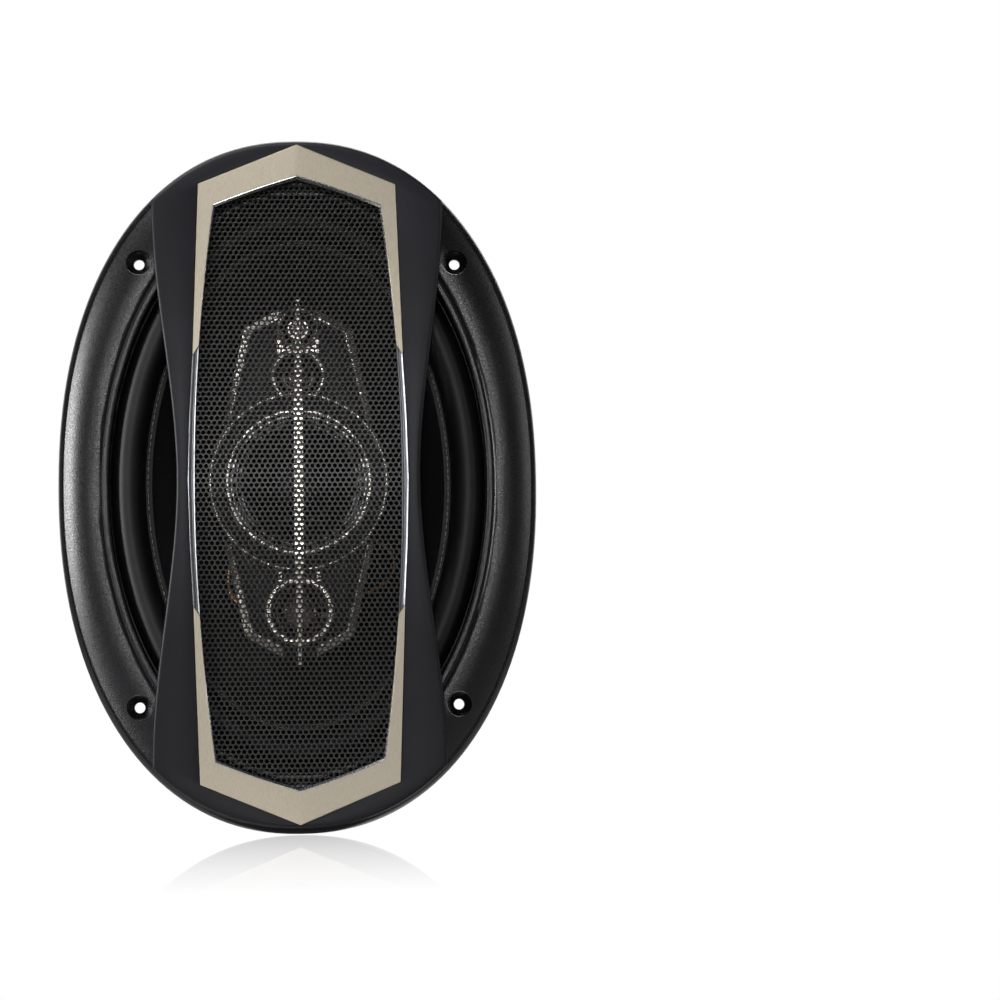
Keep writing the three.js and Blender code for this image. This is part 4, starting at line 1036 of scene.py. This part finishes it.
def makeMidrangeFrame():
    low, high = cad("midrange_frame")
    opening, floor = bridge["midOpening"], high.y
    frameProfile = [(opening + 1.4, low.y), (opening + 1.4, floor), (11, floor), (11, floor - 1.6),
                    (opening - 3, floor - 1.6), (opening - 0.2, low.y + 6), (opening - 0.2, low.y)]
    finished(spun(frameProfile), "midrangeFrame", "glossPp", "midrange_frame", soft=0.2)
    high = cad("midrange_surround")[1]
    inner, outer, back = 21.9, high.x, high.y
    middle, span = (inner + 24.6) / 2 + 0.2, 1.4
    rollFront = arc((middle, back - 0.45), span, 0, -180, 14, 0.8)
    rollBack = arc((middle, back - 0.05), span - 0.4, -180, 0, 14, 0.7)
    bm = spun([(outer, back), (outer, back - 0.5), (outer - 0.7, back - 0.5)] + rollFront +
              [(inner, back - 0.45), (inner, back)] + rollBack)
    rolling(bm, inner, outer)
    piece = finished(bm, "midrangeSurround", "glossPp", "midrange_surround", None, angle=55)
    bendWith(piece)


def makeMidrangeCone():
    low, high = cad("midrange_cone")
    rim, neck, front, wall = high.x, 9.4, low.y, 0.6
    ledges = [(rim, front), (rim - 0.5, front - 0.35), (rim - 1.0, front + 0.2), (rim - 1.9, front + 0.75),
              (rim - 2.2, front + 0.55), (rim - 2.7, front + 1.3)]  # stepped rings at the rim
    slope = [(rim - 2.7 + (neck - rim + 2.7) * i / 16, front + 1.3 + 8.1 * (i / 16) ** 0.8) for i in range(1, 17)]
    outside = [(neck, high.y), (neck + wall, high.y), (neck + wall, front + 10.6)]
    outside += [(r, y + wall) for r, y in reversed(ledges[-1:] + slope[:-1])] + [(rim, front + wall)]
    finished(spun(ledges + slope + outside), "midrangeCone", "glossPp", "midrange_cone", "midrange",
             angle=30)
    low, high = cad("midrange_dust_cap")
    edge, top, rear = high.x, low.y, high.y
    cap = [(edge * sin(radians(a)), rear - (rear - top) * cos(radians(a)) ** 1.25) for a in range(0, 91, 6)]
    back = [(max(0.0, r - 0.5) if r > 0.6 else 0.0, y + 0.5) for r, y in reversed(cap)]
    bm = spun(cap[:-1] + [(edge, rear), (edge - 0.5, rear)] + back[1:], middling)
    finished(bm, "midrangeDustCap", "softCap", "midrange_dust_cap", "midrange", angle=60)
    collar = spun([(edge + 0.25, rear + 0.2), (edge + 0.25, rear - 0.5), (edge + 0.6, rear - 0.9),
                   (edge + 1.2, rear - 1.2), (edge + 1.5, rear - 1.6), (edge + 1.7, rear + 0.1)])
    finished(collar, "dustCapCollar", "glossPp", None, "midrange", angle=25)
    dots = []
    for sx in (-1, 1):  # eyelets where the coil's leads come through the cone
        dot = boxed((sx * 17.0, front + 4.1, -8.8), (1.5, 0.7, 1.2), (0, radians(-25 * sx), radians(-28 * sx)))
        dots.append(bevelEdges(dot, dot.edges[:], 0.25, 2))
    finished(joinedMesh(*dots), "coilEyelets", "tab", None, "midrange")
    low, high = cad("midrange_magnet")
    pole, gap = 7.9, 10.9
    magnet = spun([(0, low.y), (pole, low.y), (pole, low.y + 6.8), (gap, low.y + 6.8), (gap, low.y + 2.4),
                   (high.x, low.y + 2.4), (high.x, high.y), (0, high.y)], middling)
    finished(magnet, "midrangeMagnet", "ferrite", "midrange_magnet", soft=0.3)


def makeTweeters():
    for name, t in tweeterDims.items():
        at = (0, tweeterCentre(name))
        low, high = cad("tweeter_cup_" + name)
        domeLow, domeHigh = cad("tweeter_dome_" + name)
        dome = (domeHigh.x - domeLow.x) / 2
        domeEdge = domeHigh.y - 1.2
        mouth, floor, rim = t["opening"] - 0.15, high.y, dome + 0.7
        flare = [(t["opening"], low.y), (mouth, low.y + 0.7)]
        for i in range(1, 9):  # the flared wall down to the dome
            sweep = 1 - sqrt(1 - (i / 8) ** 2)
            flare.append((mouth + (rim + 0.05 - mouth) * i / 8, low.y + 0.7 + (domeEdge - low.y - 0.2) * sweep))
        profile = [(0, floor - 0.8), (rim, floor - 0.8), (rim, domeEdge + 0.6)] + flare[::-1]
        profile += [(high.x, low.y), (high.x, floor), (0, floor)]
        finished(spun(profile, middling, at), name + "TweeterCup", "cupBlack" if name == "upper" else "cupDark",
                 "tweeter_cup_" + name, angle=30)
        rise = domeEdge - domeLow.y
        cap = []
        for i in range(0, 15):
            share = i / 14
            y = domeEdge - rise * sqrt(1 - share ** 2)
            if name == "top" and 0.1 < share < 0.93:  # the small supertweeter's dome is stepped in rings
                y += 0.12 if int(share * 6) % 2 else -0.12
            cap.append((dome * share, min(y, domeEdge)))
        back = [(max(0.0, r - 0.35) if r > 0.4 else 0.0, y + 0.4) for r, y in reversed(cap)]
        skirt = [(dome + 0.35, domeEdge + 0.15), (dome + 0.35, domeEdge + 1.2), (dome - 0.1, domeEdge + 1.2)]
        finished(spun(cap + skirt + back, middling, at), name + "TweeterDome", "titanium",
                 "tweeter_dome_" + name, "dome_" + name, angle=40)


def makeBridgeLeads():
    right = [(24, 7, -18.4), (28.6, 3.6, -21), (32.6, 2.2, -23.6), (35.6, 2.2, -27.6), (35.4, 2.2, -33.4),
             (31.2, 2.2, -38.2), (24.1, 1.6, -41.6), (17, -0.2, -43.8), (12, -0.8, -45)]
    left = [(-22, 7, -21), (-25.4, 3.4, -27.6), (-26.5, 2.2, -33), (-26.7, 2.2, -38), (-24.8, 1.8, -43),
            (-19, 0.2, -45.6), (-12, -0.8, -46.5)]
    for name, route in (("right", right), ("left", left)):
        tubeAlong(route, 0.6, name + "BridgeLead", "bridge_lead_" + name, "chassis")


makeBridgeBody()
makeRails()
makeSpine()
makeMidrangeFront()
makeMidrangeFrame()
makeMidrangeCone()
makeTweeters()
makeBridgeLeads()
print("driver bridge done")

# ---------- grille ----------
grille = {"squareness": 2.2, "innerSide": 71.1, "innerEnd": 108.9, "counterbore": 4.6, "hole": 2.0,
          "counterboreFloor": -7.2, "drop": 12.0, "skinDepth": 2.3, "outlineGap": 2.3, "waist": 45.3,
          "shoulder": 54.8, "shoulderZ": 106.0, "windowWaist": 38.4, "windowShoulder": 31.0,
          "windowShoulderZ": 103.9, "windowApex": 114.7, "apex": 128.3, "inlayShoulder": (37.2, 112.8),
          "tip": (39.2, 46.9), "slant": 4.0, "inlayWaist": 41.0, "endPoints": 24, "sidePoints": 56, "wall": 2.5,
          "foot": -6.8}
meshDims = {"pitch": 2.08, "hole": 0.74, "thickness": 0.7, "sides": 12, "margin": 1.6}


def archY(z):
    return archLow.y + grille["drop"] * (z / ringHigh.z) ** 2


def ringLengthAt(r):
    return between(r, [(0, 0), (grille["innerSide"], grille["innerEnd"]), (ringHigh.x, ringHigh.z)])


def ringSquareness(r):
    return between(r, [(0, 2.0), (grille["innerSide"], 2.0), (ringHigh.x - 7.4, 2.1), (ringHigh.x, 2.2)])


def makeRing():
    inner, outer = grille["innerSide"], ringHigh.x
    top, rear = ringLow.y, ringHigh.y
    crown = [(inner, top + 5.8), (inner, top + 0.9), (inner + 0.3, top + 0.3), (inner + 0.8, top + 0.05),
             (inner + 1.9, top + 0.05), (inner + 2.2, top + 0.8), (inner + 2.8, top + 0.95), (inner + 3.6, top + 0.4)]
    for i in range(1, 15):  # the convex band
        share = i / 14
        crown.append((inner + 3.6 + (outer - inner - 6.0) * share,
                      top + 0.4 - 0.35 * sin(pi * share) + 2.9 * share ** 2.2))
    crown += [(outer - 2.2, top + 3.75), (outer - 1.9, top + 3.8), (outer - 1.7, top + 3.5), (outer - 1.0, top + 4.5),
              (outer - 0.45, top + 5.8), (outer - 0.1, top + 7.2), (outer, top + 8.2), (outer, rear)]
    under = [(outer - 2, rear), (outer - 2, top + 8.2), (outer - 3.2, top + 5.8), (outer - 6, top + 4.3),
             (inner + 6, top + 2.6), (inner + 2, top + 2.6), (inner + 2, top + 5.8)]
    ring = toOval(spun(crown + under, 160), ringLengthAt, ringSquareness)
    bore, hole, floor = grille["counterbore"], grille["hole"], grille["counterboreFloor"]
    bosses = [tube(0, 6, -10.6, -4.3, small, at) for at in screws]
    cutters = [spun([(0, -30), (bore + 0.5, -30), (bore + 0.5, top - 0.1), (bore, top + 1.6), (bore, floor - 0.9),
                     (hole + 0.3, floor + 0.8), (hole, floor + 1.1), (hole, 5), (0, 5)], small, at) for at in screws]
    ring = carved(carved(ring, bosses, "UNION"), cutters)
    finished(ring, "grilleRing", "ringAbs", "grille_ring", "grille", 0.12, 30)


def quarterRows(endOf, sideOf):  # one outline: the end's points, then the side's, for each quarter in turn
    d = grille
    quarter = [endOf(i / d["endPoints"]) for i in range(d["endPoints"])]
    quarter += [sideOf(i / d["sidePoints"]) for i in range(d["sidePoints"] + 1)]
    right = quarter + [(x, -z) for x, z in reversed(quarter[:-1])]
    return right + [(-x, z) for x, z in reversed(right[1:-1])]


def outerOutline(inset=0.0):
    d = grille
    a, b = ringHigh.x - d["outlineGap"] - inset, ringHigh.z - d["outlineGap"] - inset
    n = d["squareness"]
    last = ((d["shoulder"] - inset) / a) ** (n / 2)

    def end(share):
        x = a * (last * share) ** (2 / n)
        return x, b * (1 - (x / a) ** n) ** (1 / n)

    zStart = end(1.0)[1]

    def side(share):
        z = zStart * (1 - share)
        half = d["waist"] + (d["shoulder"] - d["waist"]) * smoothStep(min(1, z / d["shoulderZ"]))
        return half - inset, z

    return quarterRows(end, side)


def windowHalf(z):  # half the window's width at this height
    d = grille
    return d["windowWaist"] - (d["windowWaist"] - d["windowShoulder"]) * (z / d["windowShoulderZ"]) ** 2


def windowEdge(inset=0.0):
    d = grille
    top, shoulderX, shoulderZ = d["windowApex"], d["windowShoulder"], d["windowShoulderZ"]

    def end(share):
        bow = 0.5 * sin(pi * share)
        return (shoulderX + inset) * share, top + inset * 1.05 - (top - shoulderZ) * share + bow

    def side(share):
        z = (shoulderZ + inset * 0.6) * (1 - share)
        return windowHalf(z) + inset, z

    return quarterRows(end, side)


def inlayHalf(z):  # half the width of the inlays at this height
    d = grille
    return between(z, [(0, d["inlayWaist"]), (d["tip"][1] * 0.5, d["inlayWaist"] - 0.6), d["tip"][::-1],
                       d["inlayShoulder"][::-1]])


def inlayEdge(inset=0.0):
    d = grille
    shoulderX, shoulderZ = d["inlayShoulder"]

    def end(share):
        return (shoulderX - inset) * share, d["apex"] - inset - (d["apex"] - shoulderZ) * share

    def side(share):
        z = (shoulderZ - inset) * (1 - share)
        return inlayHalf(z) - inset, z

    return quarterRows(end, side)


def lifted(outline, behind):  # an outline laid on the arch, so far behind its front
    return [(x, archY(z) + behind, z) for x, z in outline]


def makeHourglass():
    d = grille
    outer, wall = outerOutline(), outerOutline(d["wall"])
    foot = [(x, max(archY(z) + 4, min(d["foot"], -17 + max(0, abs(z) - 66) * 0.73)), z) for x, z in outer]
    rows = [
        foot,
        lifted(outer, 0.9),
        lifted(outerOutline(0.25), 0.35),
        lifted(outerOutline(0.7), 0.1),
        lifted(outerOutline(1.4), 0.02),
        lifted(inlayEdge(-0.5), 0.0),
        lifted(inlayEdge(-0.12), 0.12),
        lifted(inlayEdge(-0.1), 0.95),
        lifted(windowEdge(0.35), 0.95),
        lifted(windowEdge(), 1.1),
        lifted(windowEdge(), d["skinDepth"] + 0.1),
        lifted(windowEdge(3.0), d["skinDepth"] + 0.1),
        lifted(wall, d["skinDepth"] + 0.4),
        [(x, y, z) for (x, z), (_, y, _) in zip(wall, foot)],
    ]
    finished(lofted(rows, True, True), "grilleHourglass", "softPaint", "grille_bridge", "grille",
             0.1, 24)


def inlayBar(pairs, section, ridge=0.0):  # a bar that lies between the inlay's outer edge and the window
    rows = []
    for share, behind in section:
        row = []
        for (xo, zo), (xi, zi) in pairs:
            x, z = xo + (xi - xo) * share, zo + (zi - zo) * share
            crease = ridge * (1 - min(1, abs(x) / grille["inlayShoulder"][0])) if behind < 0.5 else 0
            row.append((x, archY(z) + behind - crease, z))
        rows.append(row)
    return capped(lofted(rows, False, True))


def makeChevrons():
    tipX, tipZ = grille["tip"]
    innerZ = tipZ + grille["slant"]
    for level, sz in (("upper", 1), ("lower", -1)):
        pairs = [(o, i) for o, i in zip(inlayEdge(), windowEdge()) if o[1] * sz > tipZ + 0.5]
        centre = [p for p in pairs if abs(p[0][0]) < 1e-6]
        right = sorted([(o, i) for o, i in pairs if o[0] > 1e-6 and abs(i[1]) > innerZ + 0.4],
                       key=lambda p: -abs(p[0][1]))
        right.append(((tipX, sz * tipZ), (windowHalf(innerZ), sz * innerZ)))
        left = [((-o[0], o[1]), (-i[0], i[1])) for o, i in reversed(right)]
        chain = left + centre + right
        bm = inlayBar(chain, ((0.0, 0.75), (0.0, 0.0), (0.02, -0.16), (0.9, -0.16), (0.9, 0.75)), 1.0)
        for edge in bm.edges:
            if all(abs(v.co.x) < 1e-5 for v in edge.verts):
                edge.smooth = False
        finished(bm, level + "Chevron", "champagne", "chevron_" + level, "grille", angle=25)
        line = [p for p in chain if abs(p[0][1]) > tipZ + 1]
        bm = inlayBar(line, ((0.905, 0.7), (0.905, -0.05), (0.93, -0.1), (1.0, 0.75), (0.985, 0.95)), 1.0)
        finished(bm, level + "ChromeEdge", "chrome", None, "grille", angle=25)


def makeBlades():
    outerZ, steps = grille["tip"][1] - 0.35, 40
    innerZ = outerZ + grille["slant"]
    section = ((0.0, 0.75), (0.0, -0.05), (0.08, -0.18), (0.3, 0.12), (0.55, 0.3), (0.8, 0.22), (0.94, -0.02),
               (1.0, 0.2), (1.0, 0.8))
    places = [1 - 2 * i / steps for i in range(steps + 1)]
    for side, sx in (("right", 1), ("left", -1)):
        pairs = [((sx * inlayHalf(abs(p * outerZ)), p * outerZ), (sx * windowHalf(p * innerZ), p * innerZ))
                 for p in places]
        finished(inlayBar(pairs, section), side + "WaistBlade", "blade", "waist_blade_" + side,
                 "grille", angle=30)


def insideWindow(x, z, margin):
    d = grille
    if z < d["windowShoulderZ"]:
        return x < windowHalf(z) + margin
    roof = d["windowApex"] - (d["windowApex"] - d["windowShoulderZ"]) * x / d["windowShoulder"]
    return x < d["windowShoulder"] + margin and z < roof + margin


def meshCell():  # one six-sided cell of the sheet with its round hole
    d = meshDims
    rim, hole = [], []
    for i in range(d["sides"]):
        t = 2 * pi * i / d["sides"] + pi / 2
        reach = d["pitch"] / sqrt(3) * (1 if i % 2 == 0 else cos(pi / 6))
        rim.append((reach * cos(t), reach * sin(t)))
        hole.append((d["hole"] * cos(t), d["hole"] * sin(t)))
    rows = [[(x, d["thickness"], z) for x, z in rim], [(x, d["thickness"], z) for x, z in hole],
            [(x, 0.12, z) for x, z in hole], [(x * 1.14, 0.0, z * 1.14) for x, z in hole],
            [(x, 0.0, z) for x, z in rim]]
    bm = lofted(rows, True)
    front = min(bm.faces, key=lambda f: f.calc_center_median().y)
    if front.normal.y > 0:
        bmesh.ops.reverse_faces(bm, faces=bm.faces)
    return bm


def makeMesh():
    d = meshDims
    rowStep = d["pitch"] * sqrt(3) / 2
    cell = meshCell()
    carrier = bpy.data.meshes.new("meshCell")
    cell.to_mesh(carrier)
    cell.free()
    at = Vector((0, 0, 0))
    for level, first, beyond in (("upper", 20, 70), ("middle", -20, 20), ("lower", -70, -20)):
        bm = bmesh.new()
        for k in range(first, beyond):
            for i in range(-20, 21):
                here = Vector(((i + (0.5 if k % 2 else 0)) * d["pitch"], 0, k * rowStep))
                if insideWindow(abs(here.x), abs(here.z), d["margin"]):
                    carrier.transform(Matrix.Translation(here - at))
                    at = here
                    bm.from_mesh(carrier)
        bmesh.ops.remove_doubles(bm, verts=bm.verts, dist=0.02)
        for v in bm.verts:
            v.co.y += meshLow.y - archLow.y + archY(v.co.z) + 0.15
        finished(bm, level + "GrilleMesh", "meshSteel", "grille_mesh", "grille", angle=50)
    bpy.data.meshes.remove(carrier)


makeRing()
makeHourglass()
makeChevrons()
makeBlades()
makeMesh()
print("grille done")
